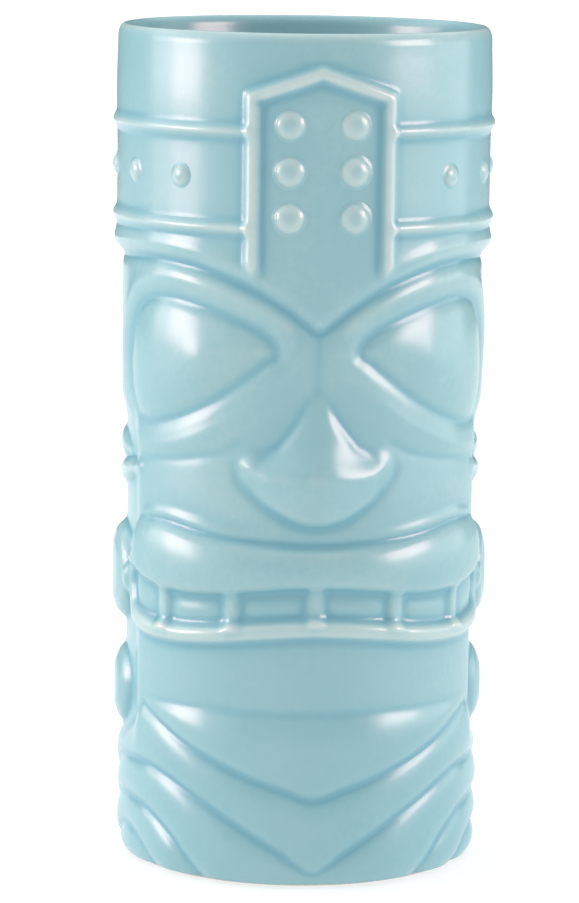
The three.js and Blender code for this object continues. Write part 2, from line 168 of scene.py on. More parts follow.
@dataclass(frozen=True)
class Grid:
    """A fine regular net over the unrolled outside of the mug.

    Args:
        top: height of the uppermost row, in millimetres.
        angle_step: degrees between columns.
        height_step: millimetres between rows.
    """

    top: float
    angle_step: float = 0.5
    height_step: float = 0.3

    @property
    def angles(self) -> np.ndarray:
        """The columns' angles, from -180 up to just under 180."""
        return np.arange(-180, 180, self.angle_step)

    @property
    def heights(self) -> np.ndarray:
        """The rows' heights."""
        return np.arange(0, self.top + self.height_step, self.height_step)

    @property
    def side(self) -> np.ndarray:
        """Degrees away from the middle of the face at every crossing; the mug is the same on both sides."""
        return np.abs(np.broadcast_to(self.angles, (len(self.heights), len(self.angles))))

    @property
    def height(self) -> np.ndarray:
        """Height at every crossing."""
        return np.broadcast_to(self.heights[:, None], (len(self.heights), len(self.angles)))

    def above(self, line: Line) -> np.ndarray:
        """Distance above a line of height over angle, measured square to the line.

        Args:
            line: height as a function of degrees from the middle of the face.

        Returns:
            Millimetres above the line, negative below it.
        """
        side = self.side[0]
        slope = (line(side + 0.5) - line(side - 0.5)) / arc(1.0)
        return (self.height - line(side)) / np.hypot(1, slope)

    def from_spot(self, angle: float, height: float, stretch: float = 1.0) -> np.ndarray:
        """Distance from a spot, with its height differences divided by stretch."""
        return np.hypot(arc(self.side - angle), (self.height - height) / stretch)

    def soften(self, values: np.ndarray, reach: float) -> np.ndarray:
        """Blurs a field over the net, round the seam as well.

        Args:
            values: one number at every crossing.
            reach: standard deviation of the blur, in millimetres.

        Returns:
            The blurred field.
        """
        for axis, step in ((1, arc(self.angle_step)), (0, self.height_step)):
            count = math.ceil(3 * reach / step)
            offsets = np.arange(-count, count + 1)
            weights = np.exp(-0.5 * (offsets * step / reach) ** 2)
            weights /= weights.sum()
            pads = [(0, 0), (0, 0)]
            pads[axis] = (count, count)
            padded = np.pad(values, pads, mode="wrap" if axis == 1 else "edge")
            length = values.shape[axis]
            values = sum(
                weight * np.take(padded, range(i, i + length), axis=axis) for i, weight in enumerate(weights)
            )
        return values

    def without_ridges(self, values: np.ndarray, reach: float) -> np.ndarray:
        """Planes off every ridge narrower than twice the reach, and leaves steps and broad forms alone.

        Args:
            values: one number at every crossing.
            reach: millimetres.

        Returns:
            The planed field.
        """
        for extreme in (np.minimum, np.maximum):
            for axis, step in ((1, arc(self.angle_step)), (0, self.height_step)):
                count = round(reach / step)
                pads = [(0, 0), (0, 0)]
                pads[axis] = (count, count)
                padded = np.pad(values, pads, mode="wrap" if axis == 1 else "edge")
                length = values.shape[axis]
                shifted = [np.take(padded, range(i, i + length), axis=axis) for i in range(2 * count + 1)]
                values = extreme.reduce(shifted)
        return values

    def read(self, values: np.ndarray, angles: np.ndarray, heights: np.ndarray) -> np.ndarray:
        """Reads a field between crossings.

        Args:
            values: one number at every crossing.
            angles: degrees of the columns wanted.
            heights: millimetres of the rows wanted.

        Returns:
            An array of rows by columns.
        """
        column = ((angles + 180) / self.angle_step) % len(self.angles)
        row = np.clip(heights / self.height_step, 0, len(self.heights) - 1.001)
        left, low = np.floor(column).astype(int), np.floor(row).astype(int)
        across, up = (column - left)[None, :], (row - low)[:, None]
        right = (left + 1) % len(self.angles)
        bottom = values[low][:, left] * (1 - across) + values[low][:, right] * across
        top = values[low + 1][:, left] * (1 - across) + values[low + 1][:, right] * across
        return bottom * (1 - up) + top * up


class Outline:
    """A smooth closed outline on the unrolled face, and the distance from it."""

    def __init__(self, points: Sequence[Point], samples: int = 12) -> None:
        """Runs a closed smooth curve through the points.

        Args:
            points: (angle, height) pairs in order round the outline.
            samples: straight pieces between each two points.
        """
        knots = np.array([(arc(angle), height) for angle, height in points])
        before, after, beyond = (np.roll(knots, shift, axis=0) for shift in (1, -1, -2))
        t = (np.arange(samples) / samples)[:, None, None]
        curve = 0.5 * (
            2 * knots
            + (after - before) * t
            + (2 * before - 5 * knots + 4 * after - beyond) * t**2
            + (3 * knots - before - 3 * after + beyond) * t**3
        )
        self.curve = curve.transpose(1, 0, 2).reshape(-1, 2)

    def distance(self, grid: Grid, reach: float = 12.0) -> np.ndarray:
        """Distance from the outline, negative inside it.

        Args:
            grid: the net it is measured on.
            reach: distances are only worked out this far from the outline; beyond it they are this far.

        Returns:
            Millimetres at every crossing.
        """
        low, high = self.curve.min(axis=0) - reach, self.curve.max(axis=0) + reach
        x, y = arc(grid.side), grid.height
        near = (x > low[0]) & (x < high[0]) & (y > low[1]) & (y < high[1])
        spots = np.stack([x[near], y[near]], axis=1).astype(np.float32)
        closest = np.full(len(spots), np.inf, np.float32)
        inside = np.zeros(len(spots), bool)
        for start, end in zip(self.curve, np.roll(self.curve, -1, axis=0), strict=True):
            along = end - start
            offset = spots - start
            share = np.clip(offset @ along / (along @ along), 0, 1)
            closest = np.minimum(closest, np.hypot(*(offset - share[:, None] * along).T))
            crosses = (start[1] > spots[:, 1]) != (end[1] > spots[:, 1])
            with np.errstate(divide="ignore", invalid="ignore"):
                meets = start[0] + (spots[:, 1] - start[1]) * along[0] / along[1]
            inside ^= crosses & (spots[:, 0] < meets)
        result = np.full(x.shape, reach)
        result[near] = np.where(inside, -closest, np.minimum(closest, reach))
        return result


# ---- the carved forms ----------------------------------------------------------------------------


@dataclass(frozen=True)
class Headband:
    """The plain top of the mug with its two rails and the six-sided badge.

    Args:
        wall: radius of the plain wall.
        rails: heights of the two rails.
        rail_half_width: half the width of a rail.
        rail_height: how proud a rail stands.
        badge_angle: degrees from the middle to the badge's upright borders.
        badge_shoulder: height where the upright borders end.
        badge_apex: height of the badge's point.
        badge_depth: how far the badge's panel is sunk.
        border_half_width: half the width of the badge's border.
        border_height: how proud the border stands.
        edge_softness: width over which the rails' and the border's edges are rounded.
        swell: how far the band swells under the rim.
    """

    wall: float = 35.5
    rails: tuple[float, float] = (142.0, 124.2)
    rail_half_width: float = 0.85
    rail_height: float = 0.85
    badge_angle: float = 20.7
    badge_shoulder: float = 148.3
    badge_apex: float = 152.8
    badge_depth: float = 0.35
    border_half_width: float = 1.1
    border_height: float = 1.1
    edge_softness: float = 0.75
    swell: float = 0.2

    def radius(self, grid: Grid, above: np.ndarray) -> np.ndarray:
        """The band's surface, as if it went on down the whole mug.

        Args:
            grid: the net.
            above: distance above the band's lower edge, where the badge's border dies away.

        Returns:
            Radius at every crossing.
        """
        x, z = arc(grid.side), grid.height
        surface = np.full(x.shape, self.wall) + self.swell * hump(z - 148, 6)
        half = arc(self.badge_angle)
        slope = (self.badge_apex - self.badge_shoulder) / half
        gable = (z - (self.badge_apex - slope * x)) / math.hypot(1, slope)
        outside = np.maximum(x - half, gable)
        inside = smooth_step(-outside, 0.2, 1.6)
        rails = sum(ridge(z - level, self.rail_half_width, self.edge_softness) for level in self.rails)
        rails = rails * (1 - smooth_step(-outside, -1.0, 0))
        surface += self.rail_height * rails
        surface -= self.badge_depth * inside
        border = ridge(outside, self.border_half_width, self.edge_softness)
        border = (self.border_height + self.badge_depth * inside) * border
        return surface + border * smooth_step(above, 1.6, 4.6)


@dataclass(frozen=True)
class Overhang:
    """The step under the headband, which dips to a shallow V over the nose.

    Args:
        crest_height: how proud the rounded crest above the edge stands.
        crest_distance: distance from the edge up to the crest.
        groove_depth: depth of the carved line along the edge.
        groove_width: how far that line fades on each side.
        edge: height of the edge over angle.
    """

    crest_height: float = 0.5
    crest_distance: float = 3.1
    groove_depth: float = 0.42
    groove_width: float = 0.95
    edge: Line = field(
        default_factory=lambda: line_through(
            [(-5, 106.8), (0, 105), (5, 106.8), (10, 109.1), (20, 112.6), (30, 114.9), (40, 116.4)]
            + [(50, 117.1), (60, 117.3), (75, 116.9), (90, 116.4), (180, 116.4)]
        )
    )

    def join(self, grid: Grid, face: np.ndarray, band: np.ndarray) -> np.ndarray:
        """Lays the band over the face above the edge.

        Args:
            grid: the net.
            face: radius of the face below the edge.
            band: radius of the band above it.

        Returns:
            The joined surface.
        """
        above = grid.above(self.edge)
        share = smooth_step(above, -0.1, 2.7)
        proud = self.crest_height * (0.05 + 0.95 * smooth_step(grid.side, 15, 40))
        crest = proud * hump(above - self.crest_distance, 1.7)
        deeper = 0.06 * (1 - smooth_step(grid.side, 5, 22))
        groove = (self.groove_depth + deeper) * hump(above + 0.1, self.groove_width)
        return face * (1 - share) + (band + crest) * share - groove


@dataclass(frozen=True)
class Eyes:
    """The two eyes: a pillow in a carved groove, with a raised ring of brow and lid round it.

    Args:
        ring_height: how proud the ring stands over the eye; it is lower under it.
        groove_depth: depth of the groove.
        groove_width: how far the groove fades on each side.
        pillow_height: how proud the middle of the eye stands.
        rim: the groove's outline.
        lid_line: height of the carved line under the lower lid, over angle.
    """

    ring_height: float = 0.75
    groove_depth: float = 0.26
    groove_width: float = 1.05
    pillow_height: float = 1.15
    rim: Outline = field(
        default_factory=lambda: Outline(
            [(12.4, 101.6), (13.6, 103.4), (16.4, 104.9), (20, 106.2), (30, 108.5), (40, 110), (50, 110.8)]
            + [(60, 110.2), (67, 108), (72, 103.8), (74.6, 98), (73.4, 91.8), (68.5, 87.4), (60, 85.9)]
            + [(50, 87), (40, 89.2), (30, 92.5), (20, 97), (15.6, 99.2), (13, 100.2)]
        )
    )
    lid_line: Line = field(
        default_factory=lambda: line_through(
            [(14, 86.5), (25, 84), (30, 82.4), (40, 81), (50, 80.2), (62, 79.7), (74, 80)]
        )
    )

    def relief(self, grid: Grid) -> np.ndarray:
        """Height of the eyes over the face.

        Args:
            grid: the net.

        Returns:
            Millimetres at every crossing.
        """
        out = self.rim.distance(grid) + 0.7
        brow = 0.4 + 0.6 * smooth_step(grid.height, 90, 103)
        ring = self.ring_height * brow * hump(out - 3.5, 2.6) * smooth_step(out, -0.5, 2.6)
        below = grid.above(self.lid_line)
        lid = 0.2 * smooth_step(below, -0.3, 2.5) * smooth_step(out, 3, 5) * (1 - smooth_step(out, 7, 11))
        span = smooth_step(grid.side, 20, 27) * (1 - smooth_step(grid.side, 66, 73))
        line = -0.16 * hump(below, 1.0) * span
        groove = -self.groove_depth * hump(out, self.groove_width)
        depth = grid.soften(np.maximum(-out, 0), 1.5)
        pillow = self.pillow_height * (1 - (1 - np.clip(depth / 9.5, 0, 1)) ** 2) + 0.28 * shoulder(-out, 1.3)
        pillow = grid.soften(pillow, 0.55)
        pupil = 0.3 * hump(grid.from_spot(37.5, 99.6), 3.4)
        return ring + lid + line + groove + pillow + pupil


@dataclass(frozen=True)
class Nose:
    """The nose: a wedge of a bridge that runs into a broad base with two wings.

    Args:
        bridge_top: height where the bridge starts.
        bridge_foot: height where it has its full width.
        bridge_half_width: half of that width.
        flank_slope: millimetres that a flank rises for each millimetre inwards.
        base_height: how proud the base stands.
        wing: angle and height of a wing's middle.
        wing_height: how much further the wing stands out.
        outline: edge of the base.
    """

    bridge_top: float = 93.6
    bridge_foot: float = 78.5
    bridge_half_width: float = 9.8
    flank_slope: float = 0.36
    base_height: float = 0.95
    wing: Point = (19.6, 79.8)
    wing_height: float = 0.66
    outline: Outline = field(
        default_factory=lambda: Outline(
            [(-8, 86), (0, 93.8), (6, 88.3), (9.2, 85.6), (12.2, 83.6), (16, 83.1), (20, 83.7), (24, 82.8)]
            + [(25.8, 80.3), (24.5, 77.3), (20, 74.7), (15, 72.4), (10, 70.5), (5, 69.2), (0, 68.8)]
            + [(-5, 69.2), (-12, 75)]
        )
    )

    def relief(self, grid: Grid) -> np.ndarray:
        """Height of the nose over the face.

        Args:
            grid: the net.

        Returns:
            Millimetres at every crossing.
        """
        x, z = arc(grid.side), grid.height
        out = self.outline.distance(grid)
        drop = (self.bridge_top - z) / (self.bridge_top - self.bridge_foot)
        half_width = self.bridge_half_width * np.clip(drop, 0, 1)
        flank = half_width - (np.hypot(x, 3.0) - 2.8)
        wedge = self.flank_slope * 0.5 * (flank + np.hypot(flank, 1.1)) * smooth_step(z, 64, 79)
        low = 1 - smooth_step(z, 79, 86)
        reach = 2.1 + 1.9 * smooth_step(z, 72, 78)
        base = self.base_height * shoulder(-out, reach) * low
        wing = self.wing_height * hump(grid.from_spot(*self.wing, 0.75), 5.4) * shoulder(-out, 2.9)
        rim = -0.22 * hump(out - 0.3, 0.9) * (1 - smooth_step(z, 77, 82))
        frown = -0.14 * hump(x, 1.3) * smooth_step(z, 92, 95) * (1 - smooth_step(z, 103, 106))
        return wedge * smooth_step(-out, -1.0, 1.2) + base + wing + rim + frown


@dataclass(frozen=True)
class Mouth:
    """The rolled upper lip, the narrow lower lip, and the teeth in the slot between them.

    Args:
        lip_roll: how proud the upper lip stands.
        lower_lip_height: how proud the lower lip stands.
        bar_angles: degrees from the middle to each bar between two teeth.
        bar_half_width: half the width of a bar.
        bar_height: how proud a bar stands in the slot.
        lip_top: height of the upper lip's top edge over angle.
        slot_top: height of its lower edge.
        slot: outline of the slot that holds the teeth.
    """

    lip_roll: float = 2.15
    lower_lip_height: float = 1.35
    bar_angles: tuple[float, ...] = (0.0, 26.3, 52.3)
    bar_half_width: float = 1.45
    bar_height: float = 0.85
    lip_top: Line = field(
        default_factory=lambda: line_through(
            [(0, 65), (10, 65.1), (20, 65.5), (30, 66.2), (40, 67.1), (50, 68), (58, 67.9), (66, 66.6)]
            + [(74, 62.5)]
        )
    )
    slot_top: Line = field(
        default_factory=lambda: line_through(
            [(0, 57), (10, 56.8), (20, 56.1), (30, 55.3), (40, 54.9), (50, 55), (60, 55.8), (67, 57.3)]
            + [(74, 59.5)]
        )
    )
    slot: Outline = field(
        default_factory=lambda: Outline(
            [(-10, 56.8), (0, 57), (10, 56.8), (20, 56.1), (30, 55.3), (40, 54.9), (50, 55), (60, 55.8)]
            + [(67, 57.4), (71, 57), (71.6, 54), (69, 50.4), (60, 48.7), (50, 48.5), (40, 48.8), (30, 49.4)]
            + [(20, 50.2), (10, 50.8), (0, 51.1), (-10, 50.8)]
        )
    )

    def relief(self, grid: Grid) -> np.ndarray:
        """Height of the mouth over the face.

        Args:
            grid: the net.

        Returns:
            Millimetres at every crossing.
        """
        out = self.slot.distance(grid)
        lip_below = -grid.above(self.lip_top)
        lip_above = grid.above(self.slot_top)
        thickness = np.maximum(self.lip_top(grid.side) - self.slot_top(grid.side), 1)
        share = np.clip(lip_above / thickness, 0, 1)
        fade = 1 - smooth_step(grid.side, 64, 75)
        fullest = 0.38  # the lip is proudest this far up from its lower edge
        offset = np.abs(share - fullest) / (1 - fullest)
        roll = np.sqrt(1 - np.clip(offset, 0, 1) ** 2.2) * shoulder(lip_above, 0.8)
        lip = self.lip_roll * roll * fade
        crease = -0.33 * hump(lip_below + 0.1, 1.1) * (1 - smooth_step(grid.side, 66, 74))
        fold_span = smooth_step(grid.side, 8, 36) * (1 - smooth_step(grid.side, 60, 72))
        fold = 0.58 * hump(lip_below + 1.0, 1.15) * fold_span
        lower_side = 1 - smooth_step(lip_above, -2.4, -0.6) * (1 - smooth_step(grid.side, 66, 70))
        lower_lip = self.lower_lip_height * ridge(out - 1.35, 1.5, 0.75) * lower_side
        hollow = -0.28 * smooth_step(-out, -0.4, 1.8)
        return lip + crease + fold + lower_lip + hollow + self.teeth(grid, out)

    def teeth(self, grid: Grid, out: np.ndarray) -> np.ndarray:
        """Height of the teeth and of the bars between them, within the slot.

        Args:
            grid: the net.
            out: distance from the slot's outline, negative inside it.

        Returns:
            Millimetres at every crossing.
        """
        inside = smooth_step(-out, -0.3, 1.4)
        reach = smooth_step(-out, -1.4, 0.2)
        bars = sum(ridge(arc(grid.side - angle), self.bar_half_width, 1.0) for angle in self.bar_angles)
        gap = np.min([np.abs(arc(grid.side - angle)) for angle in self.bar_angles], axis=0)
        crown = shoulder(-out - 0.2, 1.9) * shoulder(gap - self.bar_half_width - 0.2, 1.6)
        return reach * self.bar_height * bars + inside * 0.5 * crown


@dataclass(frozen=True)
class Cheeks:
    """The soft swell of the cheeks between the eyes and the mouth.

    Args:
        height: how proud it stands.
    """

    height: float = 0.2

    def relief(self, grid: Grid) -> np.ndarray:
        """Height of the cheeks over the face."""
        fade = smooth_step(grid.side, 10, 28) * (1 - smooth_step(grid.side, 62, 76))
        return self.height * hump(grid.height - 73.2, 4.5) * fade


@dataclass(frozen=True)
class Beard:
    """The chin plate and the bands of the beard, parted by carved lines that fall to the middle of the face.

    Args:
        swell: how proud a band stands at its upper edge.
        shoulder_reach: how gently a band's lower edge is rounded.
        plate_top: height of the chin plate's top edge.
        lines: height of each carved line over angle, from the top down.
    """

    swell: float = 1.05
    shoulder_reach: float = 1.5
    plate_top: float = 33.6
    lines: tuple[Line, ...] = field(
        default_factory=lambda: (
            line_through(
                [(-10, 18.8), (0, 16.9), (10, 18.8), (20, 20.7), (40, 25.4), (60, 31), (66, 32), (73, 27.5)]
                + [(82, 24.2), (98, 23.6), (108, 20.5), (118, 6), (124, -6), (180, -6)]
            ),
            line_through(
                [(-10, 6.5), (0, 2.7), (10, 6.5), (20, 10.1), (30, 13.5), (40, 16.5), (50, 19.1), (60, 20.6)]
                + [(70, 20.8), (80, 20.3), (90, 18), (100, 13.5), (110, 7), (118, -1), (126, -8), (180, -8)]
            ),
            line_through(
                [(0, -16), (30, -6), (38, 1.2), (42, 4), (50, 8.3), (60, 11.6), (72, 13.1), (80, 12.8)]
                + [(90, 11.5), (100, 7.5), (110, 0), (120, -9), (180, -9)]
            ),
            line_through(
                [(0, -20), (50, -6), (60, 1.5), (65, 4.5), (74, 7), (85, 5.5), (97, 0), (110, -8), (180, -10)]
            ),
        )
    )

    def relief(self, grid: Grid) -> np.ndarray:
        """Height of the plate and the bands over the face.

        Args:
            grid: the net.

        Returns:
            Millimetres at every crossing.
        """
        depths = [grid.above(line) for line in self.lines]
        plate = 1.5 * self.band(depths[0], self.plate_top - grid.height, 4.3)
        plate = plate * (1 - smooth_step(grid.side, 58, 68))
        bands = sum(self.band(low, -high, 3.2) for high, low in zip(depths, depths[1:], strict=False))
        last = self.band(grid.height + 4, -depths[-1], 3.2)
        within = 1 - smooth_step(grid.side, 106, 122)
        cut = sum(-0.3 * hump(depth, 0.8) for depth in depths) * within
        chin = -0.12 * hump(self.plate_top - grid.height, 1.2) * (1 - smooth_step(grid.side, 56, 66))
        return plate + (bands + last) * within + cut + chin

    def band(self, over_low: np.ndarray, under_high: np.ndarray, reach: float) -> np.ndarray:
        """A soft band between two lines, prouder towards its upper edge.

        Args:
            over_low: millimetres above the band's lower line.
            under_high: millimetres below its upper line.
            reach: how gently its upper edge is rounded.

        Returns:
            Height of the band.
        """
        tilt = 0.5 + 0.5 * over_low / np.maximum(over_low + under_high, 1)
        return self.swell * tilt * shoulder(over_low, self.shoulder_reach) * shoulder(under_high, reach)


@dataclass(frozen=True)
class Ears:
    """Two lobes and two round discs on each side, in a shallow hollow of the wall.

    Args:
        centre: degrees from the middle of the face to the middle of the discs.
        hollow: depth of the hollow.
        plug_height: height of the upper disc's middle.
        plug_radius: its radius.
        drop_height: height of the lower disc's middle.
        drop_radius: its radius.
    """

    centre: float = 90.0
    hollow: float = 1.15
    plug_height: float = 55.4
    plug_radius: float = 9.9
    drop_height: float = 33.2
    drop_radius: float = 7.9

    def relief(self, grid: Grid) -> np.ndarray:
        """Height of the ears over the face.

        Args:
            grid: the net.

        Returns:
            Millimetres at every crossing.
        """
        side, z = grid.side, grid.height
        span = smooth_step(side, 66, 75) * (1 - smooth_step(side, 104, 111))
        room = smooth_step(z, 20, 31) * (1 - smooth_step(z, 84, 91))
        hollow = -self.hollow * span * room
        plug = self.disc(grid, self.plug_height, self.plug_radius, 2.8)
        drop = self.disc(grid, self.drop_height, self.drop_radius, 2.35)
        upper = self.lobe(grid, (79.5, 79.4), (99, 80.4), 2.3, 1.15)
        lower = self.lobe(grid, (66, 77.2), (100, 73.6), 1.9, 1.35)
        return hollow + plug + drop + upper + lower

    def disc(self, grid: Grid, height: float, radius: float, proud: float) -> np.ndarray:
        """A round ear plug with a soft crown and a carved ring inside its edge.

        Args:
            grid: the net.
            height: height of its middle.
            radius: its radius.
            proud: how proud it stands.

        Returns:
            Millimetres at every crossing.
        """
        away = grid.from_spot(self.centre, height)
        crown = proud * shoulder(radius - away, 1.7)
        ring = -0.25 * hump(away - radius * 0.68, 0.8)
        return crown + ring

    def lobe(self, grid: Grid, start: Point, end: Point, half_width: float, proud: float) -> np.ndarray:
        """A fold of the ear: a soft ridge from start to end that tapers towards start.

        Args:
            grid: the net.
            start: angle and height of its thin end.
            end: angle and height of its thick end.
            half_width: half its width at the thick end.
            proud: how proud it stands there.

        Returns:
            Millimetres at every crossing.
        """
        x0, x1 = arc(start[0]), arc(end[0])
        x, z = arc(grid.side), grid.height
        along = np.array([x1 - x0, end[1] - start[1]])
        share = ((x - x0) * along[0] + (z - start[1]) * along[1]) / (along @ along)
        held = np.clip(share, 0, 1)
        away = np.hypot(x - x0 - held * along[0], z - start[1] - held * along[1])
        taper = 0.45 + 0.55 * smooth_step(held, 0, 0.5)
        return proud * taper * shoulder(half_width * taper + 0.6 - away, 1.0)


@dataclass(frozen=True)
class Hair:
    """Upright flutes down the back, between the ears.

    Args:
        start: degrees from the middle of the face to the hair's edge.
        flutes: number of flutes.
        depth: depth of the lines between them.
    """

    start: float = 107.5
    flutes: int = 6
    depth: float = 0.5

    def relief(self, grid: Grid) -> np.ndarray:
        """Height of the flutes over the wall.

        Args:
            grid: the net.

        Returns:
            Millimetres at every crossing.
        """
        share = (180 - grid.side) / (180 - self.start) * self.flutes / 2
        groove = np.abs(np.cos(np.pi * share)) ** 6
        back = smooth_step(grid.side, self.start - 4, self.start + 1)
        room = smooth_step(grid.height, 6, 12) * (1 - smooth_step(grid.height, 108, 114))
        edge = -0.35 * hump(arc(grid.side - self.start + 1), 1.0) * smooth_step(grid.height, 22, 28)
        return -self.depth * groove * back * room + edge * (1 - smooth_step(grid.height, 82, 90))


# ---- the mug -------------------------------------------------------------------------------------


@dataclass(frozen=True)
class GlazedCup:
    """The cup with its carved outside, glazed inside and out.

    Args:
        height: overall height.
        face_wall: radius of the plain face.
        body_softness: how far slip casting rounds every edge, as a blur in millimetres.
        lip_start: height where the lip starts to round over.
        lip_radius: radius of the outside there.
        lip_half_width: half the thickness of the lip.
        lip_steps: rings that round the lip over.
        lip_thin: how thin the glaze ran on the lip's outer edge.
        lip_full: how deep the glaze lies just inside the lip.
        inner_share: outside columns to each column of the inside and the underside.
        well_shade: painted shade inside the cup, coloured in as deep glaze; it darkens from the lip down to
            the joint and stays so below it.
        joint: height where the headband's mesh meets the mask's.
        mask_zones: (lowest, highest, number of rows) of the mask, from the wiped foot up.
        band_zones: the same for the headband.
        inside: (radius, height) down the inside, from the lip to the middle of the floor.
        underside: (radius, height) inwards from the foot.
    """

    height: float = 160.0
    face_wall: float = 34.3
    body_softness: float = 0.42
    lip_start: float = 157.6
    lip_radius: float = 35.5
    lip_half_width: float = 1.35
    lip_steps: int = 12
    lip_thin: float = 0.55
    lip_full: float = 0.1
    inner_share: int = 2
    well_shade: float = 0.5
    joint: float = 119.6
    mask_zones: tuple[tuple[float, float, int], ...] = (
        (0.8, 4, 7), (4, 35, 64), (35, 47.5, 20), (47.5, 58, 30), (58, 70, 24), (70, 84, 30),
        (84, 112, 56), (112, 119.6, 17),
    )
    band_zones: tuple[tuple[float, float, int], ...] = (
        (119.6, 127, 22), (127, 140, 30), (140, 154, 42), (154, 157.6, 5),
    )
    inside: tuple[Point, ...] = (
        (32.45, 155.6), (32.2, 153.4), (32.1, 150.5), (32.05, 146), (32.0, 140), (31.9, 132), (31.6, 124),
        (31.0, 119.5), (30.2, 116), (29.6, 112.5), (29.1, 108), (28.9, 102), (28.8, 92), (28.8, 76),
        (28.8, 60), (28.8, 44), (28.8, 28), (28.8, 17), (28.6, 13.6), (28.0, 11.2), (26.9, 9.6),
        (25.2, 8.6), (22.5, 8.1), (17, 7.8), (10, 7.65), (4, 7.6),
    )
    underside: tuple[Point, ...] = (
        (31.9, 0.75), (30.4, 0.72), (28.9, 0.75), (28.3, 1.1), (27.9, 1.9), (27.3, 2.8), (26.2, 3.3),
        (24, 3.5), (17, 3.7), (10, 3.8), (4, 3.8),
    )

    def field(self, grid: Grid) -> np.ndarray:
        """Carves the outside.

        Args:
            grid: the net.

        Returns:
            Radius of the glazed outside at every crossing.
        """
        forms = (Eyes(), Nose(), Mouth(), Cheeks(), Beard(), Ears(), Hair())
        face = np.full(grid.height.shape, self.face_wall) + sum(form.relief(grid) for form in forms)
        overhang = Overhang()
        surface = overhang.join(grid, face, Headband().radius(grid, grid.above(overhang.edge)))
        # The outside draws in over the last 6 mm to the foot.
        foot = line_through([(0, -2.3), (0.8, -1.5), (2, -0.75), (3.5, -0.25), (6, 0), (200, 0)])
        surface = surface + foot(grid.height)
        lip = smooth_step(grid.height, self.lip_start - 4, self.lip_start)
        surface = surface * (1 - lip) + self.lip_radius * lip
        return grid.soften(surface, self.body_softness)

    def glaze_and_shade(self, grid: Grid, surface: np.ndarray) -> np.ndarray:
        """Where the glaze ran thin over edges and pooled in hollows, with painted shade that darkens the wall
        towards the foot.

        Args:
            grid: the net.
            surface: radius at every crossing.

        Returns:
            -1 where it is thinnest to 1 where it is deepest, at every crossing.
        """
        # How far the surface stands out of its own mean within about 1 mm, and within about 2 mm.
        fine = surface - grid.soften(surface, 0.8)
        broad = surface - grid.soften(surface, 2.0)
        # Only a narrow ridge sheds its glaze on both sides and breaks pale.
        narrow = smooth_step(surface - grid.without_ridges(surface, 2.2), 0.35, 0.85)
        # Painted shade: the colour deepens towards the foot, darkening the lower wall.
        bottom_shade = 0.2 * (1 - smooth_step(grid.height, 4, 62))
        pooled = np.maximum(-broad, 0) / 0.8 * 0.4 + np.maximum(-fine, 0) / 0.2 * 0.8
        thin = np.maximum(fine, 0) / 0.2 * (0.12 + 0.55 * narrow)
        near = grid.height > self.lip_start - 2.5
        return np.clip(np.where(near, 0, pooled - thin + bottom_shade), -1, 1)

    def columns(self) -> np.ndarray:
        """Sets out the mesh's columns, closest together over the badge and the face.

        Returns:
            Their angles, round from 0 and back to it.
        """
        # First angle, last angle and number of columns, on one side of the face.
        zones = ((0, 24, 48), (24, 80, 84), (80, 108, 28), (108, 180, 24))
        half = np.concatenate([np.linspace(low, high, count, endpoint=False) for low, high, count in zones])
        return np.concatenate([half, -np.append(half[1:], 180.0)[::-1]])

    def rows(self, zones: Sequence[tuple[float, float, int]]) -> np.ndarray:
        """Heights of the mesh's rows.

        Args:
            zones: (lowest, highest, number of rows), from the bottom up.

        Returns:
            The heights, from the bottom up.
        """
        parts = [np.linspace(low, high, count, endpoint=False) for low, high, count in zones]
        return np.append(np.concatenate(parts), zones[-1][1])

    def wrap(
        self, mesh: "RingMesh", grid: Grid, heights: np.ndarray, surface: np.ndarray, build_and_shade: np.ndarray
    ) -> None:
        """Adds the carved outside to a mesh, ring by ring.

        Args:
            mesh: the mesh that is built.
            grid: the net of the relief.
            heights: the rings' heights, in the order they are added.
            surface: radius at every crossing.
            build_and_shade: glaze depth and painted shade at every crossing.
        """
        columns = self.columns()
        radii = grid.read(surface, columns, heights)
        tones = grid.read(build_and_shade, columns, heights)
        leans = self.leans(grid, surface, columns, heights)
        for radius, height, tone, lean in zip(radii, heights, tones, leans, strict=True):
            mesh.ring(radius, height, tone, lean=lean)

    def leans(
        self, grid: Grid, surface: np.ndarray, columns: np.ndarray, heights: np.ndarray
    ) -> np.ndarray:
        """How the surface turns away from facing straight outwards.

        Args:
            grid: the net of the relief.
            surface: radius at every crossing.
            columns: angles of the mesh's columns.
            heights: heights of its rows.

        Returns:
            Its slope sideways and upwards at every point of the mesh.
        """
        step = np.radians(2 * grid.angle_step)
        sideways = (np.roll(surface, -1, axis=1) - np.roll(surface, 1, axis=1)) / step
        upwards = np.gradient(surface, grid.height_step, axis=0)
        pair = [grid.read(slope, columns, heights) for slope in (sideways / surface, upwards)]
        return np.stack(pair, axis=-1)

    def make(self) -> tuple[bpy.types.Object, bpy.types.Object]:
        """Builds two closed shells that meet in a level plane without a visible line.

        Returns:
            The headband and the mask.
        """
        grid = Grid(self.height)
        surface = self.field(grid)
        build_and_shade = self.glaze_and_shade(grid, surface)
        straight = 20  # below this height the inside turns in to the floor
        inside = line_through(sorted((height, radius) for radius, height in self.inside if height > straight))
        joint = float(inside(np.array([self.joint]))[0])

        band = RingMesh(self.columns())
        self.wrap(band, grid, self.rows(self.band_zones), surface, build_and_shade)
        for turn in np.linspace(0, math.pi, self.lip_steps + 1)[1:]:
            radius = self.lip_radius - self.lip_half_width * (1 - math.cos(turn))
            rise = (self.height - self.lip_start) * math.sin(turn)
            tone = -self.lip_thin * math.sin(turn) ** 2 if turn < math.pi / 2 else self.lip_full
            band.ring(radius, self.lip_start + rise, tone)
        for radius, height in self.inside:
            if height > self.joint:
                # Painted shade: the inside is coloured deeper from the lip down into the well.
                tone = self.well_shade * (self.lip_start - height) / (self.lip_start - self.joint)
                band.ring(radius, height, tone, self.inner_share)
        upright = np.zeros((len(self.columns()) // self.inner_share, 2))
        band.ring(joint, self.joint, self.well_shade, self.inner_share, upright, facing=-1)
        band.close_round()

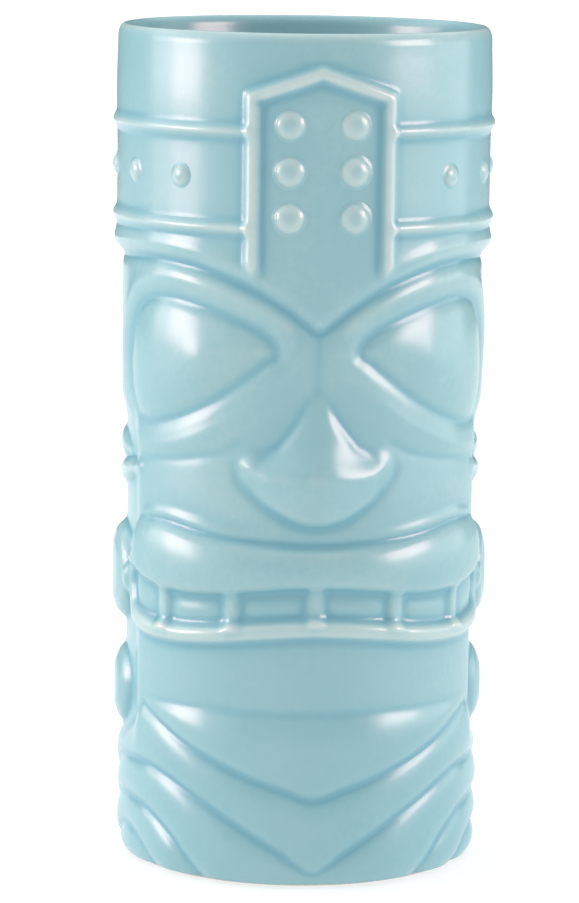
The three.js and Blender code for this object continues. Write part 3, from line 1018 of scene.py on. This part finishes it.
        mask = RingMesh(self.columns(), flip=True)
        self.wrap(mask, grid, self.rows(self.mask_zones)[::-1], surface, build_and_shade)
        for radius, height in self.underside:
            mask.ring(radius, height, 0.0, self.inner_share)
        mask.close(self.underside[-1][1])
        mask.restart()
        mask.ring(joint, self.joint, self.well_shade, self.inner_share, upright, facing=-1)
        for radius, height in self.inside:
            if height < self.joint:
                mask.ring(radius, height, self.well_shade, self.inner_share)
        mask.close(self.inside[-1][1])
        return band.finish("headband_skin"), mask.finish("mask_skin")


class RingMesh:
    """Builds a surface of stacked rings round the mug's axis."""

    def __init__(self, angles: np.ndarray, flip: bool = False) -> None:
        """Starts with no rings.

        Args:
            angles: degrees of a full ring's points.
            flip: True when the outside's rings are added from the top down.
        """
        self.angles = np.radians(angles)
        self.flip = flip
        self.points: list[np.ndarray] = []
        self.tones: list[np.ndarray] = []
        self.normals: list[np.ndarray] = []
        self.faces: list[list[int]] = []
        self.last: list[int] = []
        self.first: list[int] = []

    def add_points(
        self, points: np.ndarray, tones: np.ndarray, normals: np.ndarray | None = None
    ) -> list[int]:
        """Adds points.

        Args:
            points: their places, in metres.
            tones: glaze depth and painted shade at each.
            normals: the surface's direction at each, or None to leave it to the faces.

        Returns:
            Their numbers.
        """
        start = sum(len(block) for block in self.points)
        self.points.append(points)
        self.tones.append(tones)
        self.normals.append(np.zeros_like(points) if normals is None else normals)
        return list(range(start, start + len(points)))

    def ring(
        self,
        radius: float | np.ndarray,
        height: float,
        tone: float | np.ndarray,
        share: int = 1,
        lean: np.ndarray | None = None,
        facing: float = 1.0,
    ) -> None:
        """Adds a ring and joins it to the ring before it.

        Args:
            radius: millimetres, one number or one for each point.
            height: millimetres.
            tone: glaze depth and painted shade, one number or one for each point.
            share: 1 for every point of a full ring, 2 for every other one.
            lean: sideways and upward slope at each point, where the surface's true direction is known.
            facing: 1 where the surface looks away from the axis, -1 where it looks towards it.
        """
        angles = self.angles[::share]
        radii = np.broadcast_to(radius, angles.shape)
        outward = np.column_stack([np.sin(angles), -np.cos(angles), np.zeros(len(angles))])
        points = (outward * radii[:, None] + (0, 0, height)) * MM
        normals = None
        if lean is not None:
            sideways = np.column_stack([np.cos(angles), np.sin(angles), np.zeros(len(angles))])
            normals = outward - sideways * lean[:, :1] - np.outer(lean[:, 1], (0, 0, 1))
            normals *= facing / np.linalg.norm(normals, axis=1, keepdims=True)
        here = self.add_points(points, np.broadcast_to(np.asarray(tone, float), angles.shape), normals)
        if self.last:
            self.join(self.last, here)
        self.first = self.first or here
        self.last = here

    def join(self, before: list[int], here: list[int], flip: bool = False) -> None:
        """Fills the strip between two rings.

        Args:
            before: points of the first ring, as many as the second has or a whole multiple of that.
            here: points of the second ring.
            flip: True to turn the faces over.

        Raises:
            ValueError: the first ring's points don't divide evenly among the second's.
        """
        share, rest = divmod(len(before), len(here))
        if rest:
            raise ValueError(f"{len(before)} points can't be joined to {len(here)}")
        for i in range(len(here)):
            after = (i + 1) % len(here)
            low = [before[(i * share + k) % len(before)] for k in range(share + 1)]
            face = [*low, here[after], here[i]]
            self.faces.append(face[::-1] if self.flip != flip else face)

    def close(self, height: float) -> None:
        """Closes the last ring with a point on the axis.

        Args:
            height: the point's height.
        """
        (centre,) = self.add_points(np.array([[0, 0, height * MM]]), np.zeros(1))
        for i, corner in enumerate(self.last):
            face = [corner, self.last[(i + 1) % len(self.last)], centre]
            self.faces.append(face[::-1] if self.flip else face)

    def close_round(self) -> None:
        """Joins the last ring back to the first, which makes a hoop."""
        self.join(self.first, self.last, flip=True)

    def restart(self) -> None:
        """Goes back to the first ring, to build the other way from it."""
        self.last = self.first
        self.flip = not self.flip

    def finish(self, name: str) -> bpy.types.Object:
        """Makes the object, smooth and facing outwards.

        Args:
            name: the piece's name.

        Returns:
            The new object, in the scene.
        """
        data = bpy.data.meshes.new(name)
        data.from_pydata(np.concatenate(self.points).tolist(), [], self.faces)
        data.attributes.new(BUILD_AND_SHADE, "FLOAT", "POINT").data.foreach_set("value", np.concatenate(self.tones))
        data.shade_smooth()
        data.normals_split_custom_set_from_vertices(np.concatenate(self.normals).tolist())
        piece = bpy.data.objects.new(name, data)
        bpy.context.scene.collection.objects.link(piece)
        return piece


@dataclass(frozen=True)
class Foot:
    """The unglazed ring that the mug stands on, wiped clean before firing.

    Args:
        column_step: degrees between the mesh's columns.
        profile: (radius, height) round the ring's section.
    """

    column_step: float = 1.5
    profile: tuple[Point, ...] = (
        (29.4, 0.0), (30.9, 0.0), (31.4, 0.06), (31.85, 0.2), (32.2, 0.42), (32.42, 0.7), (32.45, 1.0),
        (30.4, 1.6), (28.48, 1.3), (28.5, 0.6), (28.65, 0.28), (28.95, 0.08),
    )

    def make(self) -> bpy.types.Object:
        """Turns the ring as one closed mesh.

        Returns:
            The finished piece.
        """
        mesh = RingMesh(np.arange(-180, 180, self.column_step))
        for radius, height in self.profile:
            mesh.ring(radius, height, 0.0)
        mesh.close_round()
        return mesh.finish("bare_foot")


@dataclass(frozen=True)
class Stud:
    """One round stud, bent to the wall it stands on, with a skirt that runs out into the wall.

    Args:
        radius: radius of the stud's crown.
        crown: how proud it stands.
        squareness: 2 for a dome; higher for a button with a flat top.
        skirt: width of the fillet round it.
        wall: radius of the wall behind it.
    """

    radius: float
    crown: float
    squareness: float
    skirt: float
    wall: float

    def make(self, name: str) -> bpy.types.Object:
        """Builds the stud at the middle of the face, with its centre at height 0.

        Args:
            name: the object's name.

        Returns:
            The stud, not yet in the scene.
        """
        reach = self.radius + self.skirt
        # The rings lie closest together where the crown turns down into the skirt.
        shares = np.concatenate([np.linspace(0, 0.55, 6)[1:], np.linspace(0.55, 1, 17)[1:]])
        away = shares * reach
        turns = np.radians(np.arange(0, 360, 7.5))
        rise = self.crown * shoulder_profile(away, self.radius, self.squareness, self.skirt)
        # The skirt's edge dips just under the wall's surface, so that no gap shows.
        level = self.wall - 0.05 * smooth_step(shares, 0.8, 1) - 0.01 + rise
        # The glaze runs thin over the crown, and thinnest where it turns down.
        tone = -0.2 * (away < self.radius) - 0.4 * hump(away - 0.72 * self.radius, 0.3 * self.radius)
        tone *= 1 - smooth_step(away, self.radius - 0.3, self.radius + 0.4 * self.skirt)
        points, tones = [(0.0, -(self.wall + self.crown), 0.0)], [float(tone[0])]
        for distance, radius, shade in zip(away, level, tone, strict=True):
            angles = distance * np.cos(turns) / self.wall
            heights = distance * np.sin(turns)
            points += zip(radius * np.sin(angles), -radius * np.cos(angles), heights, strict=True)
            tones += [float(shade)] * len(turns)
        back = self.wall - 0.8  # the point that closes the stud, inside the wall
        points.append((0.0, -back, 0.0))
        tones.append(0.0)
        count = len(turns)
        ring_start = [1 + count * k for k in range(len(away))]
        faces = [[0, 1 + (i + 1) % count, 1 + i] for i in range(count)]
        for low, high in zip(ring_start, ring_start[1:], strict=False):
            for i in range(count):
                after = (i + 1) % count
                faces.append([low + i, low + after, high + after, high + i])
        last, root = ring_start[-1], len(points) - 1
        faces += [[last + i, last + (i + 1) % count, root] for i in range(count)]
        data = bpy.data.meshes.new(name)
        data.from_pydata((np.array(points) * MM).tolist(), [], faces)
        data.attributes.new(BUILD_AND_SHADE, "FLOAT", "POINT").data.foreach_set("value", tones)
        data.shade_smooth()
        return bpy.data.objects.new(name, data)


def shoulder_profile(away: np.ndarray, radius: float, squareness: float, skirt: float) -> np.ndarray:
    """Height of a stud's section from 1 at its middle to 0 past its fillet.

    Args:
        away: distance from the middle.
        radius: radius of the crown.
        squareness: power of the crown's curve.
        skirt: width of the fillet.

    Returns:
        Share of the full height at each distance.
    """
    crown = 1 - 0.55 * np.clip(away / radius, 0, 1) ** squareness
    return crown * (1 - smooth_step(away, radius - 0.75, radius + skirt * 0.8))


@dataclass(frozen=True)
class StudRow:
    """Studs set out in rows and columns round the mug by a Geometry Nodes tree.

    Args:
        name: the finished piece's name.
        stud: the stud that is repeated.
        count: number of studs.
        columns: studs in a row.
        first_angle: angle of the first stud.
        angle_pitch: degrees from one stud to the next in a row.
        top: height of the first row.
        row_pitch: millimetres down to each next row.
    """

    name: str
    stud: Stud
    count: int
    columns: int
    first_angle: float
    angle_pitch: float
    top: float
    row_pitch: float = 0.0

    def tree(self) -> bpy.types.NodeTree:
        """Builds the tree that turns a stud round the axis and lifts it to its row.

        Returns:
            The tree, with its sizes as named inputs.
        """
        tree = bpy.data.node_groups.new(f"{self.name}_layout", "GeometryNodeTree")
        face = tree.interface
        face.new_socket("Geometry", in_out="OUTPUT", socket_type="NodeSocketGeometry")
        face.new_socket("Stud", in_out="INPUT", socket_type="NodeSocketObject")
        face.new_socket("Material", in_out="INPUT", socket_type="NodeSocketMaterial")
        for name in ("Count", "Columns"):
            face.new_socket(name, in_out="INPUT", socket_type="NodeSocketInt")
        for name in ("First Angle", "Angle Pitch", "Top", "Row Pitch"):
            face.new_socket(name, in_out="INPUT", socket_type="NodeSocketFloat")
        given = add_node(tree, "NodeGroupInput").outputs
        index = add_node(tree, "GeometryNodeInputIndex").outputs[0]
        # Each step of the sum: its result's name, the operation, and what goes in.
        found = {"index": index, **{socket.name: socket for socket in given if socket.name}}
        for result, operation, *terms in (
            ("column", "MODULO", "index", "Columns"),
            ("rows down", "DIVIDE", "index", "Columns"),
            ("row", "FLOOR", "rows down"),
            ("turned", "MULTIPLY", "column", "Angle Pitch"),
            ("angle", "ADD", "First Angle", "turned"),
            ("radians", "RADIANS", "angle"),
            ("lowered", "MULTIPLY", "row", "Row Pitch"),
            ("height", "SUBTRACT", "Top", "lowered"),
        ):
            sockets = {number: found[term] for number, term in enumerate(terms)}
            found[result] = add_node(tree, "ShaderNodeMath", {"operation": operation}, sockets).outputs[0]
        place = add_node(tree, "ShaderNodeCombineXYZ", inputs={"Z": found["height"]}).outputs[0]
        turn = add_node(tree, "ShaderNodeCombineXYZ", inputs={"Z": found["radians"]}).outputs[0]
        spots = add_node(tree, "GeometryNodePoints", inputs={"Count": given["Count"], "Position": place})
        source = add_node(tree, "GeometryNodeObjectInfo", inputs={"Object": given["Stud"]})
        copies = add_node(
            tree,
            "GeometryNodeInstanceOnPoints",
            inputs={"Points": spots.outputs[0], "Instance": source.outputs["Geometry"], "Rotation": turn},
        )
        joined = add_node(tree, "GeometryNodeRealizeInstances", inputs={"Geometry": copies.outputs[0]})
        dressed = add_node(
            tree,
            "GeometryNodeSetMaterial",
            inputs={"Geometry": joined.outputs[0], "Material": given["Material"]},
        )
        add_node(tree, "NodeGroupOutput", inputs={"Geometry": dressed.outputs[0]})
        return tree

    def make(self, material: bpy.types.Material) -> bpy.types.Object:
        """Runs the tree and turns its result into one plain mesh.

        Args:
            material: the studs' finish.

        Returns:
            The finished piece.
        """
        pattern = self.stud.make(f"{self.name}_pattern")
        bpy.context.scene.collection.objects.link(pattern)
        carrier = bpy.data.objects.new(f"{self.name}_carrier", bpy.data.meshes.new("empty"))
        bpy.context.scene.collection.objects.link(carrier)
        tree = self.tree()
        layout = carrier.modifiers.new("layout", "NODES")
        layout.node_group = tree
        values = {
            "Stud": pattern,
            "Material": material,
            "Count": self.count,
            "Columns": self.columns,
            "First Angle": self.first_angle,
            "Angle Pitch": self.angle_pitch,
            "Top": self.top * MM,
            "Row Pitch": self.row_pitch * MM,
        }
        for item in tree.interface.items_tree:
            if item.in_out == "INPUT":
                layout[item.identifier] = values[item.name]
        graph = bpy.context.evaluated_depsgraph_get()
        data = bpy.data.meshes.new_from_object(carrier.evaluated_get(graph))
        data.name = self.name
        for helper in (carrier, pattern):
            bpy.data.objects.remove(helper)
        bpy.data.node_groups.remove(tree)
        piece = bpy.data.objects.new(self.name, data)
        bpy.context.scene.collection.objects.link(piece)
        return piece


# ---- finishes ------------------------------------------------------------------------------------


@dataclass(frozen=True)
class GlossGlaze:
    """Pale blue gloss glaze fired over white stoneware.

    It breaks almost white where it ran thin over an edge, and it is a deeper, greener blue where it pooled in
    a carved line; the same deeper colours carry painted shade inside the cup and low on the wall. The surface
    is glass, with the faint waviness of a sprayed coat.

    Args:
        thin: hex colour where the stoneware shows through.
        lean: colour where the coat is lean.
        even: colour of the even coat.
        full: colour where the coat is full.
        pooled: colour where it pooled.
        roughness: roughness of the fired surface.
        ior: refractive index of the glass.
        drift: how much the coat's thickness drifts, as a share of thin to pooled.
        mottle: how much the fine mottle changes it.
    """

    thin: str = "CADBD9"
    lean: str = "B4CFD1"
    even: str = "98C2C9"
    full: str = "87B8C3"
    pooled: str = "7AAFBE"
    roughness: float = 0.235
    ior: float = 1.5
    drift: float = 0.12
    mottle: float = 0.05

    def make(self) -> bpy.types.Material:
        """Builds the material.

        Returns:
            The glaze.
        """
        material = bpy.data.materials.new("blue_gloss_glaze")
        material.use_nodes = True
        tree = material.node_tree
        tree.nodes.clear()
        build_and_shade = add_node(tree, "ShaderNodeAttribute", {"attribute_name": BUILD_AND_SHADE}).outputs["Fac"]
        place = add_node(tree, "ShaderNodeTexCoord").outputs["Object"]
        # Slow drift of the coat's thickness, about 25 mm from patch to patch.
        drift = add_node(
            tree, "ShaderNodeTexNoise", inputs={"Vector": place, "Scale": 1 / (25 * MM), "Detail": 2.0}
        ).outputs["Fac"]
        # Fine mottle of the fired glaze, about 1.5 mm across.
        mottle = add_node(
            tree, "ShaderNodeTexNoise", inputs={"Vector": place, "Scale": 1 / (1.5 * MM), "Detail": 3.0}
        ).outputs["Fac"]
        noise_span = {"From Min": 0.3, "From Max": 0.7}  # nearly all of a noise lies in this span
        coat = build_and_shade
        for noise, change in ((drift, self.drift), (mottle, self.mottle)):
            limits = {"Value": noise, "To Min": -change, "To Max": change, **noise_span}
            wander = add_node(tree, "ShaderNodeMapRange", inputs=limits).outputs[0]
            coat = add_node(tree, "ShaderNodeMath", {"operation": "ADD"}, {0: coat, 1: wander}).outputs[0]
        share = add_node(
            tree, "ShaderNodeMapRange", inputs={"Value": coat, "From Min": -1.0, "From Max": 1.0}
        ).outputs[0]
        ramp = add_node(tree, "ShaderNodeValToRGB", inputs={"Fac": share})
        stops = (
            (0.04, self.thin), (0.3, self.lean), (0.5, self.even), (0.74, self.full), (0.96, self.pooled)
        )
        elements = ramp.color_ramp.elements
        while len(elements) < len(stops):
            elements.new(0.5)
        for element, (position, code) in zip(elements, stops, strict=True):
            element.position = position
            element.color = linear(code)
        # Waviness of the sprayed coat, about 7 mm from crest to crest and a few hundredths of a
        # millimetre deep.
        wave = add_node(
            tree, "ShaderNodeTexNoise", inputs={"Vector": place, "Scale": 1 / (7 * MM), "Detail": 2.0}
        ).outputs["Fac"]
        bump = add_node(
            tree, "ShaderNodeBump", inputs={"Height": wave, "Strength": 0.35, "Distance": 0.1 * MM}
        ).outputs["Normal"]
        # The gloss drifts a little with the coat's thickness.
        limits = {"To Min": self.roughness - 0.02, "To Max": self.roughness + 0.02, **noise_span}
        roughness = add_node(tree, "ShaderNodeMapRange", inputs={"Value": drift, **limits}).outputs[0]
        shader = add_node(
            tree,
            "ShaderNodeBsdfPrincipled",
            inputs={
                "Base Color": ramp.outputs["Color"],
                "Roughness": roughness,
                "IOR": self.ior,
                "Normal": bump,
            },
        )
        add_node(tree, "ShaderNodeOutputMaterial", inputs={"Surface": shader.outputs[0]})
        return material


@dataclass(frozen=True)
class BareStoneware:
    """Fired white stoneware, wiped clean of glaze: matt and faintly sandy, its pale warm grey darkened as
    painted shade for the foot under the mug.

    Args:
        body: hex colour of the clay, greyed as painted shade for the foot under the mug.
        grog: colour of the sand in it, greyed the same way.
        roughness: roughness of the fired clay.
    """

    # Painted shade: these clay colours are greyed to stand in for the shade under the mug.
    body: str = "C8CBC2"
    grog: str = "AEB2A8"
    roughness: float = 0.85

    def make(self) -> bpy.types.Material:
        """Builds the material.

        Returns:
            The bare clay.
        """
        material = bpy.data.materials.new("bare_white_stoneware")
        material.use_nodes = True
        tree = material.node_tree
        tree.nodes.clear()
        place = add_node(tree, "ShaderNodeTexCoord").outputs["Object"]
        # Sand in the clay, about 0.5 mm from grain to grain.
        grain = add_node(
            tree, "ShaderNodeTexNoise", inputs={"Vector": place, "Scale": 1 / (0.5 * MM), "Detail": 4.0}
        ).outputs["Fac"]
        ramp = add_node(tree, "ShaderNodeValToRGB", inputs={"Fac": grain})
        for element, (position, code) in zip(
            ramp.color_ramp.elements, ((0.32, self.grog), (0.55, self.body)), strict=True
        ):
            element.position = position
            element.color = linear(code)
        bump = add_node(
            tree, "ShaderNodeBump", inputs={"Height": grain, "Strength": 0.6, "Distance": 0.05 * MM}
        ).outputs["Normal"]
        shader = add_node(
            tree,
            "ShaderNodeBsdfPrincipled",
            inputs={"Base Color": ramp.outputs["Color"], "Roughness": self.roughness, "Normal": bump},
        )
        add_node(tree, "ShaderNodeOutputMaterial", inputs={"Surface": shader.outputs[0]})
        return material


# ---- the studio ----------------------------------------------------------------------------------


@dataclass(frozen=True)
class Panel:
    """A soft lamp seen from the mug.

    Args:
        azimuth: degrees round from straight in front, positive towards +X.
        elevations: degrees of its lower and upper edges.
        half_width: half of its width, in degrees.
        distance: metres from the mug.
        radiance: its brightness, where white paper in the room's light is 1.
        gloss_only: True for a lamp far enough away that it adds a reflection and next to no light.
        colour: hex colour of its light.
    """

    azimuth: float
    elevations: Point
    half_width: float
    distance: float
    radiance: float
    gloss_only: bool = False
    colour: str = "FFFFFF"


class Softbox(Enum):
    """The lamps."""

    LEFT = Panel(-88.0, (-3.4, 21.0), 20.0, 1.0, 2.9, gloss_only=True, colour="FFD3CF")
    LEFT_CORE = Panel(-81.0, (-2.6, 21.0), 11.0, 1.02, 9.2, gloss_only=True, colour="FFD3CF")
    LEFT_FILL = Panel(-98.0, (0.0, 45.0), 24.0, 1.3, 1.5)
    RIGHT = Panel(63.0, (5.0, 30.0), 14.0, 1.1, 11.8, gloss_only=True, colour="FFD3CF")
    RIGHT_FILL = Panel(81.0, (-6.5, 12.0), 31.0, 0.75, 1.45)


@dataclass(frozen=True)
class Studio:
    """A white table, two grey cards out of sight, soft lamps and the camera.

    Args:
        aim: height of the point the lamps look at, in metres.
        camera_distance: distance from the mug's axis to the camera, in metres.
        camera_height: metres above the table.
        camera_azimuth: degrees from straight in front, positive towards +X.
        camera_pitch: degrees down.
        camera_roll: degrees.
        lens: focal length in millimetres on a 36 mm sensor.
        shift: the lens's sideways and upward shift.
        floor_colour: hex colour of the table.
        floor_glow: light that comes up through the table.
        room_light: strength of the even light all round.
    """

    aim: float = 0.09
    camera_distance: float = 0.79565
    camera_height: float = 0.200533
    camera_azimuth: float = -5.4
    camera_pitch: float = 8.6
    camera_roll: float = 0.733
    lens: float = 166.48
    shift: Point = (-0.0119, -0.0133)
    floor_colour: str = "A4A4A4"
    floor_glow: float = 0.68
    room_light: float = 1.2

    def place(self, azimuth: float, elevation: float, distance: float) -> tuple[float, float, float]:
        """Finds the point this far from the aim in a direction.

        Args:
            azimuth: degrees round from where the face looks.
            elevation: degrees up.
            distance: metres.

        Returns:
            The point, in metres.
        """
        across, up = math.radians(azimuth), math.radians(elevation)
        flat = distance * math.cos(up)
        return flat * math.sin(across), -flat * math.cos(across), self.aim + distance * math.sin(up)

    def light(self, box: Softbox) -> None:
        """Hangs one softbox, facing the mug.

        Args:
            box: the lamp.
        """
        panel = box.value
        low, high = panel.elevations
        data = bpy.data.lights.new(f"softbox_{box.name.lower()}", "AREA")
        data.shape = "RECTANGLE"
        data.size = 2 * panel.distance * math.tan(math.radians(panel.half_width))
        data.size_y = 2 * panel.distance * math.tan(math.radians((high - low) / 2))
        data.energy = panel.radiance * math.pi * data.size * data.size_y
        data.color = linear(panel.colour)[:3]
        lamp = bpy.data.objects.new(data.name, data)
        lamp.visible_diffuse = not panel.gloss_only
        middle = (low + high) / 2
        lamp.location = self.place(panel.azimuth, middle, panel.distance)
        lamp.rotation_euler = (math.radians(90 - middle), 0, math.radians(panel.azimuth))
        bpy.context.scene.collection.objects.link(lamp)

    def sheet(self, name: str, corners: np.ndarray, colour: str) -> bpy.types.Object:
        """Builds a matt sheet that is part of the studio.

        Args:
            name: its name.
            corners: points in two rows of equal length, in metres.
            colour: hex colour.

        Returns:
            The sheet, in the scene.
        """
        count = len(corners) // 2
        faces = [(i, i + 1, count + i + 1, count + i) for i in range(count - 1)]
        data = bpy.data.meshes.new(name)
        data.from_pydata(corners.tolist(), [], faces)
        paper = bpy.data.materials.new(name)
        paper.use_nodes = True
        shader = paper.node_tree.nodes["Principled BSDF"]
        shader.inputs["Base Color"].default_value = linear(colour)
        shader.inputs["Roughness"].default_value = 0.9
        shader.inputs["Specular IOR Level"].default_value = 0.1
        data.materials.append(paper)
        piece = bpy.data.objects.new(name, data)
        bpy.context.scene.collection.objects.link(piece)
        return piece

    def floor(self) -> None:
        """Lays a wide white table, faintly lit from below as a light table is."""
        side, gap = 12.0, 0.00005  # metres; the gap keeps the table clear of the foot
        corners = [(-side, -side), (side, -side), (-side, side), (side, side)]
        table = self.sheet("white_table", np.array([(x, y, -gap) for x, y in corners]), self.floor_colour)
        shader = table.data.materials[0].node_tree.nodes["Principled BSDF"]
        shader.inputs["Emission Color"].default_value = linear("FFFFFF")
        shader.inputs["Emission Strength"].default_value = self.floor_glow

    def cards(self) -> None:
        """Stands two grey cards out of sight: one shades the room, one is mirrored in the glaze's edges."""
        # Name, first and last azimuth in degrees, metres from the axis, metres tall, colour.
        for name, low, high, far, tall, colour in (
            ("front_card", -46, 40, 1.7, 1.9, "8E8E8E"),
            ("back_card", 112, 248, 1.3, 0.9, "505050"),
        ):
            turns = np.radians(np.linspace(low, high, 19))
            flat = np.column_stack([far * np.sin(turns), -far * np.cos(turns)])
            rows = [np.column_stack([flat, np.full(len(flat), z)]) for z in (0.0, tall)]
            card = self.sheet(name, np.concatenate(rows), colour)
            card.visible_camera = False
            card.visible_diffuse = card.visible_shadow = name == "front_card"

    def camera(self) -> None:
        """Sets the camera up."""
        data = bpy.data.cameras.new("camera")
        data.lens = self.lens
        data.sensor_width = 36
        data.shift_x, data.shift_y = self.shift
        data.clip_start, data.clip_end = 0.05, 20
        camera = bpy.data.objects.new("camera", data)
        across = math.radians(self.camera_azimuth)
        camera.location = (
            self.camera_distance * math.sin(across),
            -self.camera_distance * math.cos(across),
            self.camera_height,
        )
        camera.rotation_mode = "XYZ"
        look = (
            Matrix.Rotation(across, 4, "Z")
            @ Matrix.Rotation(math.radians(90 - self.camera_pitch), 4, "X")
            @ Matrix.Rotation(math.radians(self.camera_roll), 4, "Z")
        )
        camera.rotation_euler = look.to_euler("XYZ")
        bpy.context.scene.collection.objects.link(camera)
        bpy.context.scene.camera = camera

    def surround(self) -> None:
        """Fills the room with even white light."""
        world = bpy.data.worlds.new("white_room")
        world.use_nodes = True
        background = world.node_tree.nodes["Background"]
        background.inputs["Color"].default_value = linear("FFFFFF")
        background.inputs["Strength"].default_value = self.room_light
        bpy.context.scene.world = world

    def make(self) -> None:
        """Sets out the whole studio."""
        self.camera()
        self.floor()
        self.cards()
        self.surround()
        for box in Softbox:
            self.light(box)
        bpy.context.scene.view_settings.view_transform = "Standard"


# ---- putting it together -------------------------------------------------------------------------


@dataclass
class TikiMug:
    """The whole mug: its pieces, their finishes and the CAD nodes they stand for.

    Args:
        cup: the glazed cup with its headband and mask.
        foot: the bare foot.
        badge_studs: the studs on the badge.
        band_studs: the studs between the rails.
    """

    cup: GlazedCup = field(default_factory=GlazedCup)
    foot: Foot = field(default_factory=Foot)
    badge_studs: StudRow = field(
        default_factory=lambda: StudRow(
            name="badge_studs",
            stud=Stud(radius=2.6, crown=1.2, squareness=2.2, skirt=1.3, wall=35.15),
            count=6,
            columns=2,
            first_angle=-9.5,
            angle_pitch=19.8,
            top=143.35,
            row_pitch=8.55,
        )
    )
    band_studs: StudRow = field(
        default_factory=lambda: StudRow(
            name="band_studs",
            stud=Stud(radius=1.9, crown=0.95, squareness=2.0, skirt=1.3, wall=35.45),
            count=13,
            columns=13,
            first_angle=45.0,
            angle_pitch=22.5,
            top=133.4,
        )
    )

    def settle(self, piece: bpy.types.Object, nodes: Sequence[str]) -> None:
        """Rides a piece on the body and hides the CAD nodes it stands for.

        Args:
            piece: the finished piece.
            nodes: the CAD nodes.
        """
        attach(piece, "root")
        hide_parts(*nodes)
        triangles = sum(len(face.vertices) - 2 for face in piece.data.polygons)
        LOG.info("%s: %d triangles, stands for %d nodes", piece.name, triangles, len(nodes))

    def make(self) -> None:
        """Builds, dresses and settles every piece."""
        glaze, stoneware = GlossGlaze().make(), BareStoneware().make()
        nodes = sorted(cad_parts)
        badge = [name for name in nodes if name.startswith("badge_stud")]
        band = [name for name in nodes if name.startswith("band_stud")]
        foot = ["foot_ring"]
        carved = [name for name in nodes if name not in {*badge, *band, *foot}]
        headband, mask = self.cup.make()
        high = [name for name in carved if name.startswith(("headband", "badge"))]
        for skin, shown in ((headband, high), (mask, [name for name in carved if name not in high])):
            skin.data.materials.append(glaze)
            self.settle(skin, shown)
        self.settle(self.badge_studs.make(glaze), badge)
        self.settle(self.band_studs.make(glaze), band)
        ring = self.foot.make()
        ring.data.materials.append(stoneware)
        self.settle(ring, foot)


def main() -> None:
    """Builds the studio and the mug."""
    logging.basicConfig(level=logging.INFO, format="%(name)s: %(message)s")
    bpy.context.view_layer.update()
    Studio().make()
    TikiMug().make()


if __name__ == "__main__":
    main()
